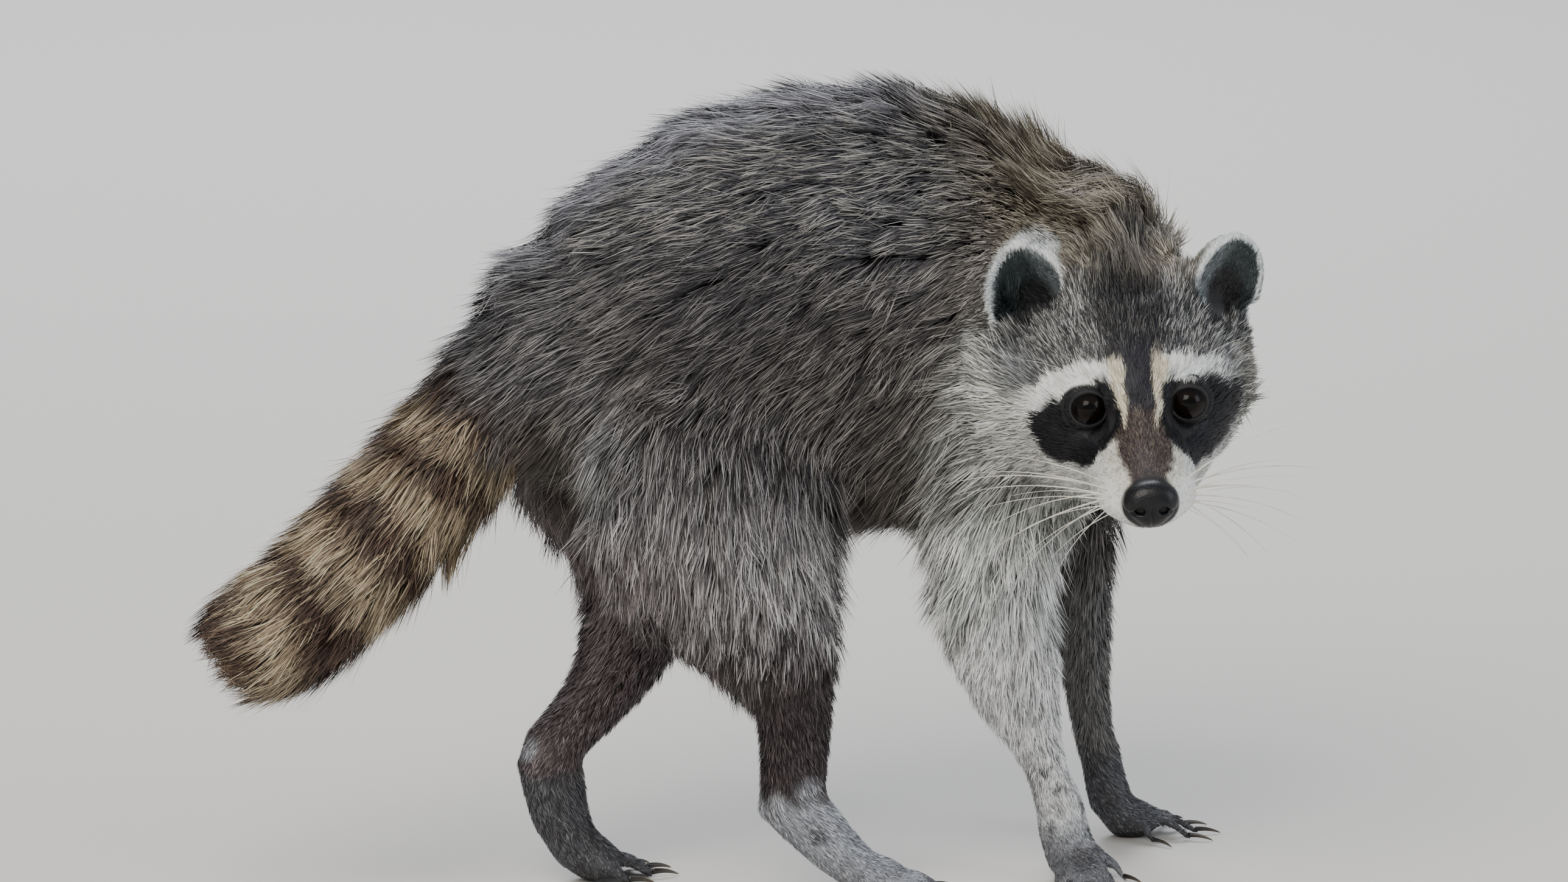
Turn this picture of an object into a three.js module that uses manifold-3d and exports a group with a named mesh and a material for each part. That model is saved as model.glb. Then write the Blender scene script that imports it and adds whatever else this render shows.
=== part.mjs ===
// A raccoon, life size, caught in mid step with its head turned to look past its right shoulder.
// Millimetres. +X is the way the hips head, +Y is the animal's left, +Z is up, and the floor is z = 0.
// Every solid reaches out to the tips of the coat.

import * as THREE from 'three';
import { LoftGeometry } from 'three/addons/geometries/LoftGeometry.js';
import { mergeVertices } from 'three/addons/utils/BufferGeometryUtils.js';
import Module from 'manifold-3d';

const wasm = await Module();
wasm.setup();

// ---------------------------------------------------------------- driving dimensions

const GAP = 0.3; // clearance between one piece and the next

const HEAD_PLACE = [47, -116, 203]; // the point midway between the two eyes
const HEAD_YAW = -106.5; // degrees from the heading of the hips
const HEAD_PITCH = 10; // degrees, nose down
const HEAD_ROLL = 3; // degrees, left ear up

const EYE_RADIUS = 8;
const EYE_SPACING = 38.5; // between the centres of the two eyeballs
const EYE_SETBACK = 3.5; // the eyeballs' centres behind the head's own origin
const EYE_DISH = { deep: 9, wide: 11, tall: 10, ahead: 9, down: 2 }; // the hollow each eye looks out of

const EAR_PLACE = [-53, 36.5, 29.5]; // the left ear's centre, from the point between the eyes
const EAR_ASIDE = 2; // both ears are turned this far towards the animal's left
const EAR_HALF = { deep: 9, wide: 18, tall: 22 };
const EAR_CUP = { deep: 11, wide: 15, tall: 19, forward: 9 };
const EAR_CLEARING = { deep: 19, wide: 21, tall: 27, forward: 16, up: 6 }; // room before each ear in the neck's fur
const EAR_SPLAY = 14; // degrees, the tip leaning outwards
const EAR_TURN = 22; // degrees, the cup opening outwards

const NOSE_PLACE = [52, 0, -19.5];
const NOSE_HALF = { deep: 7, wide: 10.7, tall: 9 };

const TAIL_SPLITS = [0, 0.36, 0.68, 1]; // where the tail is parted, as shares of its run
const TAIL_TIP_DOME = 19;
const FLOOR_BLOCK = { span: 800, depth: 60 }; // trims the soles flat

const COLOURS = {
  grizzled: 0x6b655c,
  nape: 0x8a7a62,
  mask: 0x4a443e,
  brown: 0x4a3a2e,
  ringed: 0x8a6f50,
  pale: 0xa9a49a,
  foot: 0x8f8b86,
  horn: 0x2a2522,
  nose: 0x16171c,
  eye: 0x120d0b,
};

// ---------------------------------------------------------------- shared tools

const UP = new THREE.Vector3(0, 0, 1);
const FORWARD = new THREE.Vector3(1, 0, 0);
const rad = THREE.MathUtils.degToRad;

// One cross-section of a loft: its centre, its half width, and how far it reaches up and down
// from that centre. On a leg, up is towards the front and down is towards the back. peak narrows
// its top, from 0 for an oval to 1 for a point.
function station(x, y, z, wide, up, down = up, peak = 0) {
  return { at: new THREE.Vector3(x, y, z), size: new THREE.Vector3(wide, up, down), peak };
}

// A closed body lofted through stations. Its ends are domes of the given lengths, or flat at 0.
// from and to pick a part of the run, and grow makes a slightly larger copy for cutting clearance.
function loft(stations, options = {}) {
  const { upright = UP, rings = 12, sides = 16, start = 0, end = 0, from = 0, to = 1, grow = 0 } = options;
  const path = new THREE.CatmullRomCurve3(stations.map((s) => s.at), false, 'catmullrom', 0.5);
  const girth = new THREE.CatmullRomCurve3(stations.map((s) => s.size), false, 'catmullrom', 0.5);
  const peaks = new THREE.CatmullRomCurve3(stations.map((s) => new THREE.Vector3(s.peak, 0, 0)));
  const domeSteps = [26, 60].map(rad);

  const ring = (t, along, scale) => {
    const tangent = path.getTangent(t);
    const rise = upright.clone().addScaledVector(tangent, -upright.dot(tangent)).normalize();
    const across = rise.clone().cross(tangent);
    const centre = path.getPoint(t).addScaledVector(tangent, along);
    const size = girth.getPoint(t).addScalar(grow).multiplyScalar(scale);
    const peak = peaks.getPoint(t).x;
    return Array.from({ length: sides }, (_, i) => {
      const angle = (2 * Math.PI * (i + 0.5)) / sides;
      const reach = Math.sin(angle) > 0 ? size.y : size.z;
      const narrowing = 1 - peak * Math.max(0, Math.sin(angle));
      return centre
        .clone()
        .addScaledVector(across, size.x * Math.cos(angle) * narrowing)
        .addScaledVector(rise, reach * Math.sin(angle));
    });
  };

  const sections = [];
  if (start > 0) {
    for (const a of domeSteps) sections.push(ring(from, -(start + grow) * Math.cos(a), Math.sin(a)));
  }
  for (let i = 0; i <= rings; i++) {
    sections.push(ring(THREE.MathUtils.lerp(from, to, i / rings), 0, 1));
  }
  if (end > 0) {
    for (const a of [...domeSteps].reverse()) sections.push(ring(to, (end + grow) * Math.cos(a), Math.sin(a)));
  }
  return new THREE.BufferGeometry().copy(new LoftGeometry(sections, { capStart: true, capEnd: true }));
}

// A rounded lump, stretched along its own three axes.
function lump(deep, wide, tall, sides = 12, rings = 8) {
  return new THREE.SphereGeometry(1, sides, rings).rotateX(Math.PI / 2).scale(deep, wide, tall);
}

function solid(geometry) {
  geometry.deleteAttribute('normal');
  geometry.deleteAttribute('uv');
  const merged = mergeVertices(geometry, 1e-4);
  const vertProperties = new Float32Array(merged.attributes.position.array);
  const triVerts = new Uint32Array(merged.index.array);
  return new wasm.Manifold(new wasm.Mesh({ numProp: 3, vertProperties, triVerts }));
}

function geometryOf(body) {
  const { vertProperties, triVerts } = body.getMesh();
  const geometry = new THREE.BufferGeometry();
  geometry.setAttribute('position', new THREE.BufferAttribute(vertProperties, 3));
  geometry.setIndex(new THREE.BufferAttribute(triVerts, 1));
  geometry.computeVertexNormals();
  return geometry;
}

const union = (bodies) => bodies.reduce((whole, body) => whole.add(body));
const cut = (body, cutters) => cutters.reduce((rest, cutter) => rest.subtract(cutter), body);

// The main piece left by a cut, without any slivers beside it.
function mainPiece(body) {
  return body.decompose().reduce((best, piece) => (piece.volume() > best.volume() ? piece : best));
}

const raccoon = new THREE.Group();

function addPart(name, body, color, roughness = 0.9) {
  const material = new THREE.MeshStandardMaterial({ color, roughness, metalness: 0 });
  const mesh = new THREE.Mesh(geometryOf(mainPiece(body)), material);
  mesh.name = name;
  raccoon.add(mesh);
}

const floorBlock = solid(
  new THREE.BoxGeometry(FLOOR_BLOCK.span, FLOOR_BLOCK.span, FLOOR_BLOCK.depth).translate(
    0,
    0,
    -FLOOR_BLOCK.depth / 2,
  ),
);

// ---------------------------------------------------------------- trunk, neck and tail

// The back is arched, highest over the loins, and the shoulders bend to the animal's right.
const TRUNK = [
  station(-168, 0, 218, 35, 40, 34),
  station(-147, 0, 216, 50, 53, 53),
  station(-116, 1, 221, 61, 67, 74),
  station(-75, 2, 228, 68, 84, 88),
  station(-30, 1, 228, 69, 90, 92),
  station(10, -2, 224, 65, 83, 86),
  station(46, -10, 217, 57, 66, 75),
  station(73, -22, 211, 46, 57, 60),
];
const trunkShape = { rings: 10, sides: 20, start: 15, end: 24 };
const trunkWhole = solid(loft(TRUNK, trunkShape));
const trunkCutter = solid(loft(TRUNK, { ...trunkShape, grow: GAP }));

// The neck leaves the shoulders forwards and swings round to the right.
const NECK = [
  station(40, 2, 236, 34, 42),
  station(57, -17, 242, 37, 44),
  station(58, -41, 235, 41, 43),
  station(51, -62, 216, 47, 43),
];
const neckShape = (grow) => solid(loft(NECK, { rings: 7, sides: 18, start: 10, end: 8, grow }));

// The tail droops from the rump and sweeps out behind, almost as thick at the end as at the root.
const TAIL = [
  station(-148, 0, 233, 28, 22, 30),
  station(-168, -1, 214, 29, 24, 30),
  station(-185, -2, 194, 29, 24, 31),
  station(-201, -3, 175, 29, 26, 31),
  station(-218, -4, 155, 28, 29),
  station(-238, -5, 135, 28, 29),
  station(-259, -5, 119, 28, 29),
  station(-276, -5, 108, 25, 26),
];

// ---------------------------------------------------------------- head

// From the back of the skull to the lips, in the head's own frame: x forward, z up from the eyes.
// The ruff behind the cheeks bunches towards the right, on the inside of the neck's bend.
const HEAD = [
  station(-74, -7, -11, 42, 44, 34),
  station(-64, -6, -11, 53, 51, 41),
  station(-50, -6, -11, 58.5, 52, 44),
  station(-36, -4.5, -12, 56, 50, 43),
  station(-23, -2.5, -14, 48, 43, 40),
  station(-12, -1, -17, 38, 36, 35),
  station(-3, 0, -19, 30, 32, 31, 0.15),
  station(4, 0, -20, 24, 28, 28, 0.35),
  station(14, 0, -22, 21.5, 25, 23.5, 0.45),
  station(27, 0, -23, 21, 21.5, 16, 0.42),
  station(41, 0, -22, 16.5, 16, 12.5, 0.3),
  station(51, 0, -21, 11.5, 12.5, 10),
];

const headTurn = new THREE.Object3D();
headTurn.position.set(...HEAD_PLACE);
headTurn.rotation.set(rad(HEAD_ROLL), rad(HEAD_PITCH), rad(HEAD_YAW), 'ZYX');
headTurn.updateMatrix();
const onHead = (geometry) => solid(geometry.applyMatrix4(headTurn.matrix));

const headShape = { rings: 14, sides: 18, start: 12, end: 5 };
const headWhole = onHead(loft(HEAD, headShape));
const headCutter = onHead(loft(HEAD, { ...headShape, grow: GAP }));

const intoEye = (geometry, side) => geometry.translate(-EYE_SETBACK, (side * EYE_SPACING) / 2, 0);
const eyeball = (side, grow) => {
  const radius = EYE_RADIUS + grow;
  return onHead(intoEye(lump(radius, radius, radius), side));
};
const eyeDish = (side) => {
  const { deep, wide, tall, ahead, down } = EYE_DISH;
  return onHead(intoEye(lump(deep, wide, tall, 10, 6).translate(ahead, 0, -down), side));
};

const nosePad = (grow) =>
  onHead(
    lump(NOSE_HALF.deep + grow, NOSE_HALF.wide + grow, NOSE_HALF.tall + grow).translate(...NOSE_PLACE),
  );

// An ear is a rounded leaf hollowed from the front, its tip leaning out and its cup turned out.
const intoEar = (geometry, side) =>
  geometry
    .rotateZ(rad(side * EAR_TURN))
    .rotateX(rad(-side * EAR_SPLAY))
    .translate(EAR_PLACE[0], side * EAR_PLACE[1] + EAR_ASIDE, EAR_PLACE[2]);
const earLeaf = (side, grow) =>
  onHead(intoEar(lump(EAR_HALF.deep + grow, EAR_HALF.wide + grow, EAR_HALF.tall + grow), side));
const earHollow = (side) =>
  onHead(intoEar(lump(EAR_CUP.deep, EAR_CUP.wide, EAR_CUP.tall, 10, 6).translate(EAR_CUP.forward, 0, 0), side));

const earClearing = (side) => {
  const { deep, wide, tall, forward, up } = EAR_CLEARING;
  return onHead(intoEar(lump(deep, wide, tall, 10, 6).translate(forward, 0, up), side));
};

// ---------------------------------------------------------------- legs

// Each leg runs from inside the trunk to the wrist or hock, and is parted at the elbow or knee.
const LEGS = [
  {
    name: 'front_leg_right',
    upper: 'upper_arm',
    lower: 'forearm',
    joint: 0.46,
    stations: [
      station(36, -34, 204, 24, 34),
      station(26, -45, 174, 26, 36, 38),
      station(14, -51, 146, 24, 32, 34),
      station(10, -52, 122, 20, 26, 27),
      station(15, -49, 102, 18, 27, 25),
      station(23, -44, 76, 14, 23, 17),
      station(35, -38, 54, 10.5, 12.5, 10.5),
      station(43, -34, 36, 8.5, 9.5),
    ],
  },
  {
    name: 'front_leg_left',
    upper: 'upper_arm',
    lower: 'forearm',
    joint: 0.44,
    stations: [
      station(56, 18, 202, 24, 32),
      station(66, 26, 172, 24, 33),
      station(73, 32, 144, 22, 28),
      station(76, 34, 120, 18, 22),
      station(80, 33, 98, 14.5, 16),
      station(82, 31, 74, 11.5, 12, 14),
      station(83, 29, 52, 9.5, 10, 11),
      station(86, 28, 34, 8.5, 9.5),
    ],
  },
  {
    name: 'hind_leg_right',
    upper: 'thigh',
    lower: 'shank',
    joint: 0.56,
    stations: [
      station(-112, -30, 214, 28, 46, 44),
      station(-104, -43, 182, 32, 58, 56),
      station(-98, -50, 150, 30, 56, 58),
      station(-84, -52, 120, 25, 41),
      station(-75, -50, 96, 19, 26),
      station(-71, -47, 78, 14, 20, 17),
      station(-70, -45, 62, 12, 18, 14.5),
      station(-71, -44, 47, 11, 17, 12.5),
    ],
  },
  {
    name: 'hind_leg_left',
    upper: 'thigh',
    lower: 'shank',
    joint: 0.52,
    stations: [
      station(-120, 30, 212, 28, 42),
      station(-112, 40, 178, 31, 50),
      station(-103, 42, 146, 28, 42, 44),
      station(-101, 38, 119, 24, 31, 33),
      station(-108, 33, 97, 19, 24),
      station(-120, 28, 79, 14, 18),
      station(-135, 22, 65, 12, 14),
      station(-151, 17, 54, 11, 12),
    ],
  },
];

// ---------------------------------------------------------------- feet

// A foot runs from the wrist or hock to the knuckles, then five digits spread from there.
// Its yaw is the way it points, in degrees. Digit 0 is the inner one, the thumb or big toe:
// each has a length past the knuckle and a splay in degrees towards the inner side.
const FRONT_DIGITS = { base: 2.7, tip: 2.2, claw: 8 };
const HIND_DIGITS = { base: 3.4, tip: 2.7, claw: 9 };
const DIGIT_ARCH = 2.5; // how far a digit's middle stands over the line from knuckle to tip
const PAD_SINK = 0.7; // a fingertip's height over the floor, as a share of its radius, so its pad is cut flat
const FEET = [
  {
    name: 'front_foot_right',
    claws: 'claw_front_right',
    style: FRONT_DIGITS,
    side: -1,
    yaw: -97,
    stations: [
      station(43, -34, 38, 9, 8.5),
      station(47.5, -33, 24, 10, 8),
      station(50.5, -33, 11, 11, 8, 11.5),
      station(52, -44, 7.5, 11.5, 5.5, 9),
    ],
    lengths: [15, 22, 25, 24, 18],
    splay: [34, 13, 3, -6, -17],
  },
  {
    name: 'front_foot_left',
    claws: 'claw_front_left',
    style: FRONT_DIGITS,
    side: 1,
    yaw: -14,
    stations: [
      station(86, 28, 36, 8.5, 8.5),
      station(89, 27, 23, 9.5, 8),
      station(94, 26, 11, 10.5, 8, 11.5),
      station(105, 24, 7.5, 11, 5.5, 9),
    ],
    lengths: [14, 20, 22, 21, 19],
    splay: [50, 22, 2, -20, -42],
  },
  {
    name: 'hind_foot_right',
    claws: 'claw_hind_right',
    style: HIND_DIGITS,
    side: -1,
    yaw: -14,
    stations: [
      station(-74, -43, 44, 10.5, 14, 11),
      station(-60, -42, 29, 11, 13, 10),
      station(-42, -42, 13, 12.5, 8.5, 10),
      station(-28, -44, 8, 13.5, 6.5, 10.5),
    ],
    lengths: [14, 21, 23, 22, 17],
    splay: [18, 8, 0, -8, -18],
  },
  {
    name: 'hind_foot_left',
    claws: 'claw_hind_left',
    style: HIND_DIGITS,
    side: 1,
    yaw: 14,
    stations: [
      station(-150, 17, 54, 11, 15, 11),
      station(-147, 17, 38, 10.5, 14, 11.5),
      station(-140, 19, 19, 12, 10.5),
      station(-126, 21, 8.5, 13, 7.5, 11),
    ],
    lengths: [15, 22, 24, 23, 18],
    splay: [26, 12, 0, -12, -24],
  },
];

// Where each digit of a foot starts, where it ends at the floor, and which way it points.
function digitsOf({ stations, style, side, yaw, lengths, splay }) {
  const knuckles = stations.at(-1);
  const heading = new THREE.Vector3(Math.cos(rad(yaw)), Math.sin(rad(yaw)), 0);
  const across = UP.clone().cross(heading);
  const middle = (lengths.length - 1) / 2;
  const spread = (knuckles.size.x - style.base) / middle;
  return lengths.map((length, i) => {
    const sideways = side * (i - middle) * spread;
    const setback = i === 0 ? style.base * 2.5 : Math.abs(i - middle) * style.base * 0.3;
    const direction = heading.clone().applyAxisAngle(UP, rad(-side * splay[i]));
    const root = knuckles.at.clone().addScaledVector(across, sideways).addScaledVector(heading, -setback);
    const end = root.clone().addScaledVector(direction, length).setZ(style.tip * PAD_SINK);
    return { root, end, direction };
  });
}

function digitShape({ root, end, direction }, { base, tip }) {
  const middle = root.clone().lerp(end, 0.5);
  const pad = end.clone().addScaledVector(direction, -tip);
  const sizes = [
    station(root.x, root.y, root.z, base, base),
    station(middle.x, middle.y, middle.z + DIGIT_ARCH, base * 0.9, base * 0.9),
    station(pad.x, pad.y, pad.z, tip, tip),
    station(end.x, end.y, end.z, tip * 0.75, tip * 0.75),
  ];
  return solid(loft(sizes, { rings: 3, sides: 6 }));
}

// A claw leaves the flat end of a digit and curves down almost to the floor.
function clawShape({ end, direction }, { tip, claw }) {
  const point = (distance, height, thick) => {
    const at = end.clone().addScaledVector(direction, GAP + distance);
    return station(at.x, at.y, height, thick * 0.75, thick);
  };
  const sizes = [point(0, tip, tip * 0.55), point(claw * 0.5, tip * 1.15, tip * 0.45), point(claw, tip * 0.4, 0.4)];
  return solid(loft(sizes, { rings: 2, sides: 4 }));
}

// ---------------------------------------------------------------- assembly

const SIDES = [1, -1]; // left, then right
const earHollows = SIDES.map(earHollow);
const earCutters = [...SIDES.map((side) => earLeaf(side, GAP)), ...earHollows];
const eyeballs = SIDES.map((side) => eyeball(side, GAP));
const faceCutters = [...eyeballs, ...SIDES.map(eyeDish), ...earHollows, nosePad(GAP)];
addPart('trunk', cut(trunkWhole, [headCutter, ...earCutters]), COLOURS.grizzled);
addPart('neck', cut(neckShape(0), [trunkCutter, headCutter, ...earCutters, ...SIDES.map(earClearing)]), COLOURS.nape);
addPart('head', cut(headWhole, faceCutters), COLOURS.mask);
addPart('nose', nosePad(0), COLOURS.nose, 0.25);
for (const [side, name] of [[1, 'left'], [-1, 'right']]) {
  addPart(`eye_${name}`, eyeball(side, 0), COLOURS.eye, 0.08);
  addPart(`ear_${name}`, cut(earLeaf(side, 0), [earHollow(side), headCutter]), COLOURS.pale);
}

const footSolids = FEET.map((foot) => {
  const upright = new THREE.Vector3(Math.cos(rad(foot.yaw)), Math.sin(rad(foot.yaw)), 1);
  const palm = (grow) => solid(loft(foot.stations, { upright, rings: 4, sides: 10, start: 4, end: 5, grow }));
  const digits = digitsOf(foot);
  const whole = union([palm(0), ...digits.map((digit) => digitShape(digit, foot.style))]);
  addPart(foot.name, cut(whole, [floorBlock]), COLOURS.foot);
  digits.forEach((digit, i) => addPart(`${foot.claws}_${i + 1}`, clawShape(digit, foot.style), COLOURS.horn, 0.35));
  return palm(GAP);
});

const legCutters = LEGS.map(({ name, upper, lower, joint, stations }, i) => {
  const shape = { upright: FORWARD, sides: 10 };
  const top = (grow) => solid(loft(stations, { ...shape, rings: 7, to: joint, start: 10, grow }));
  const gapShare = GAP / new THREE.CatmullRomCurve3(stations.map((s) => s.at)).getLength();
  const low = solid(loft(stations, { ...shape, rings: 6, from: joint + gapShare, end: 4 }));
  addPart(`${name}_${upper}`, cut(top(0), [trunkCutter, headCutter, neckShape(GAP)]), COLOURS.grizzled);
  addPart(`${name}_${lower}`, cut(low, [footSolids[i]]), COLOURS.brown);
  return top(GAP);
});

const tailSpan = new THREE.CatmullRomCurve3(TAIL.map((s) => s.at)).getLength();
['tail_root', 'tail_middle', 'tail_end'].forEach((name, i, names) => {
  const from = i === 0 ? 0 : TAIL_SPLITS[i] + GAP / tailSpan;
  const end = i === names.length - 1 ? TAIL_TIP_DOME : 0;
  const length = solid(loft(TAIL, { rings: 4, sides: 16, from, to: TAIL_SPLITS[i + 1], end }));
  addPart(name, cut(length, [trunkCutter, ...legCutters]), COLOURS.ringed);
});

// The origin is under the middle of the animal's outline, on the floor.
const outline = new THREE.Box3().setFromObject(raccoon);
raccoon.position.set(-(outline.min.x + outline.max.x) / 2, -(outline.min.y + outline.max.y) / 2, 0);

export default raccoon;
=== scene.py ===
# A raccoon as a life-size still model, walking, its head turned back over the right shoulder.
# Metres, in the frame of the CAD solids: +X the way the hips head, +Y the animal's left, +Z up.

import math
import bmesh
import bpy
import numpy as np
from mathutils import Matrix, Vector
from mathutils.bvhtree import BVHTree
from mathutils.kdtree import KDTree


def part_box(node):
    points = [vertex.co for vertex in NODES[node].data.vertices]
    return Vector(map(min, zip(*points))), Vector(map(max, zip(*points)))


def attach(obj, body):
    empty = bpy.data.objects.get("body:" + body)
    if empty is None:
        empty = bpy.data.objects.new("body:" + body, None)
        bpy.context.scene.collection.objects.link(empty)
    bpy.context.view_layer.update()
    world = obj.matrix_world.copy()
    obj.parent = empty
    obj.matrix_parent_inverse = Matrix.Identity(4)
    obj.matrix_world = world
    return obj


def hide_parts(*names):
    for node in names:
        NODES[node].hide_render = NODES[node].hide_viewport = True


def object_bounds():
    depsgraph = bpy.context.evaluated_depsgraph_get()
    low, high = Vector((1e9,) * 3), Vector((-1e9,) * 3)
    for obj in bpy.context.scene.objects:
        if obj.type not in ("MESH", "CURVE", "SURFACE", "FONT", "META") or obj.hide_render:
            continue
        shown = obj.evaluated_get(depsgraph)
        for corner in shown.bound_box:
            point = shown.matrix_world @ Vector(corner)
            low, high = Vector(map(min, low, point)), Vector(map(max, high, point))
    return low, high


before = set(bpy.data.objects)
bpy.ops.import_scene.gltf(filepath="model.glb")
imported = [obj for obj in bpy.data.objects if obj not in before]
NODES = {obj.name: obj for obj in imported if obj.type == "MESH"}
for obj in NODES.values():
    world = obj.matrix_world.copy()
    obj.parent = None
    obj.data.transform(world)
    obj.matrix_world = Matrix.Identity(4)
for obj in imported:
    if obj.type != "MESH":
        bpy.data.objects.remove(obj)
cad_low, cad_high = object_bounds()

# ---------------------------------------------------------------- the skin
# The hide of the whole animal in one closed piece: back, neck, face, ears, legs, soles and tail.
# It lies under the CAD solids by the depth of the coat, which is a few tenths of a millimetre on
# the fingers, two on the face and well over a centimetre on the back and tail.

MM = 0.001


def read(items, field, width, kind=float):
    """One field of every item of a mesh, a row of width numbers each."""
    flat = np.empty(len(items) * width, kind)
    items.foreach_get(field, flat)
    return flat.reshape(-1, width)


def points_of(node):
    return read(NODES[node].data.vertices, "co", 3)


def put(name, data):
    """A new object in the scene, at the origin."""
    thing = bpy.data.objects.new(name, data)
    bpy.context.scene.collection.objects.link(thing)
    return thing


def unit(v):
    return v / np.maximum(np.linalg.norm(v, axis=-1, keepdims=True), 1e-12)


def ramp(x, low, high):
    """0 below low, 1 above high, smooth between; low may be the larger."""
    t = np.clip((x - low) / (high - low), 0.0, 1.0)
    return t * t * (3 - 2 * t)


def mix(a, b, share):
    share = np.asarray(share)
    if np.ndim(a) > share.ndim or np.ndim(b) > share.ndim:
        share = share[..., None]
    return a * (1 - share) + b * share


# The head's own frame: origin between the eyes, x out along the muzzle, y to its left, z up.
eye_centre = {side: points_of("eye_" + side).mean(0) for side in ("left", "right")}
nose_centre = sum(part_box("nose"), Vector()) / 2
NOSE_DROP = math.atan2(19.5, 55.5)  # the nose sits this far below the line straight ahead
head_left = unit(eye_centre["left"] - eye_centre["right"])
eyes_middle = (eye_centre["left"] + eye_centre["right"]) / 2
to_nose = np.array(nose_centre) - eyes_middle
to_nose = unit(to_nose - head_left * (to_nose @ head_left))
below = unit(np.cross(to_nose, head_left))
below = below if below[2] < 0 else -below
head_forward = unit(to_nose * math.cos(NOSE_DROP) - below * math.sin(NOSE_DROP))
head_up = np.cross(head_forward, head_left)
EYE_SETBACK = 3.5 * MM  # how far the eyes' centres lie behind the head's origin
head_axes = np.array([head_forward, head_left, head_up])
head_origin = eyes_middle + head_forward * EYE_SETBACK


def in_head(points):
    """World points in millimetres of the head's own frame."""
    return (points - head_origin) @ head_axes.T / MM


def from_head(points):
    return points * MM @ head_axes + head_origin


# Each ear is an oval leaf; these are its centre, half sizes and how it is turned, in the head's frame.
EAR_CENTRE = {1: np.array([-53.0, 38.5, 29.5]), -1: np.array([-53.0, -34.5, 29.5])}
EAR_HALF = (18.0, 22.0)  # across and up
EAR_TURN, EAR_SPLAY = math.radians(22), math.radians(14)


def by_ear(p):
    """Places by the nearer ear: forward out of its cup, across it, up it, all from its centre."""
    side = np.where(p[:, 1] > 2, 1, -1)
    arm = p - np.where((side > 0)[:, None], EAR_CENTRE[1], EAR_CENTRE[-1])
    out_y = arm[:, 1] * side
    forward = arm[:, 0] * math.cos(EAR_TURN) + out_y * math.sin(EAR_TURN)
    across = -arm[:, 0] * math.sin(EAR_TURN) + out_y * math.cos(EAR_TURN)
    up = arm[:, 2] * math.cos(EAR_SPLAY) + across * math.sin(EAR_SPLAY)
    across = across * math.cos(EAR_SPLAY) - arm[:, 2] * math.sin(EAR_SPLAY)
    return forward, across, up


def in_cup(p):
    """1 on the wall of an ear's cup and inside it, 0 outside."""
    forward, across, up = by_ear(p)
    spread = ((forward - 9) / 11) ** 2 + (across / 15) ** 2 + (up / 19) ** 2
    return ramp(spread, 1.7, 1.25) * ramp(forward, -6, -4)


# Joint points down each limb, and down the tail, from the CAD solids.
def low_end(node):
    v = points_of(node)
    return v[v[:, 2] <= np.quantile(v[:, 2], 0.12)].mean(0)


LIMBS = {}
for end, halves in (("front", ("upper_arm", "forearm")), ("hind", ("thigh", "shank"))):
    for side in ("right", "left"):
        upper, lower = (f"{end}_leg_{side}_{half}" for half in halves)
        top = points_of(upper)
        shoulder = top[top[:, 2] >= np.quantile(top[:, 2], 0.8)].mean(0)
        claw_tips = [points_of(f"claw_{end}_{side}_{i}").mean(0) for i in range(1, 6)]
        ankle, toes = low_end(lower), low_end(f"{end}_foot_{side}")
        LIMBS[end, side] = np.array([shoulder, low_end(upper), ankle, toes, np.mean(claw_tips, 0)])
TAIL_END_RISE = 26 * MM  # the tail's last bone lies this far above its lowest hairs
tail_root, tail_middle, tail_end = (points_of(f"tail_{name}") for name in ("root", "middle", "end"))
tail_line = np.array([
    tail_root.max(0) * [1, 0, 1] + tail_root.mean(0) * [0, 1, 0],
    tail_root.mean(0), tail_middle.mean(0), tail_end.mean(0),
    [tail_end[:, 0].min(), tail_end[:, 1].mean(), tail_end[:, 2].min() + TAIL_END_RISE],
])


def along(points, line):
    """For each point: how far along the line it lies, how far from it, and the line's heading there."""
    best = np.full(len(points), 1e9)
    run = np.zeros(len(points))
    heading = np.zeros((len(points), 3))
    done = 0.0
    for a, b in zip(line[:-1], line[1:]):
        span = np.linalg.norm(b - a)
        way = (b - a) / span
        t = np.clip((points - a) @ way, 0, span)
        far = np.linalg.norm(points - (a + t[:, None] * way), axis=1)
        closer = far < best
        best[closer] = far[closer]
        run[closer] = done + t[closer]
        heading[closer] = way
        done += span
    return run, best, heading


def scatter(dice, count):
    """Random places in a triangle, as shares of the way along two of its sides."""
    u, v = dice.random((2, count, 1))
    over = u + v > 1
    return np.where(over, 1 - u, u), np.where(over, 1 - v, v)


def finder(points):
    """A tree that finds the nearest of the points."""
    tree = KDTree(len(points))
    for number, point in enumerate(points):
        tree.insert(point, number)
    tree.balance()
    return tree


def leg_joints(line):
    """How far down a leg its knee or elbow and its ankle or wrist lie."""
    knee = np.linalg.norm(line[1] - line[0])
    return knee, knee + np.linalg.norm(line[2] - line[1])


# Which solid each point of the skin belongs to: the one with the nearest surface.
FLESH = [n for n in NODES if not n.startswith(("eye_", "claw_", "nose"))]
FILLING = ["eye_left", "eye_right", "nose"]  # joined in, so that the skin runs on behind them
SAMPLE_SPACING = 4 * MM  # between the points that stand for each solid's surface
rng = np.random.default_rng(7)
samples, sample_node = [], []
for node in FLESH:
    tri = read(NODES[node].data.loops, "vertex_index", 1, int).reshape(-1, 3)
    a, b, c = points_of(node)[tri].transpose(1, 0, 2)
    area = np.linalg.norm(np.cross(b - a, c - a), axis=1) / 2
    count = max(60, int(area.sum() / SAMPLE_SPACING**2))
    pick = rng.choice(len(area), count, p=area / area.sum())
    u, v = scatter(rng, count)
    samples.append(a[pick] + u * (b - a)[pick] + v * (c - a)[pick])
    sample_node += [node] * count
nearest_solid = finder(np.concatenate(samples))


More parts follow.
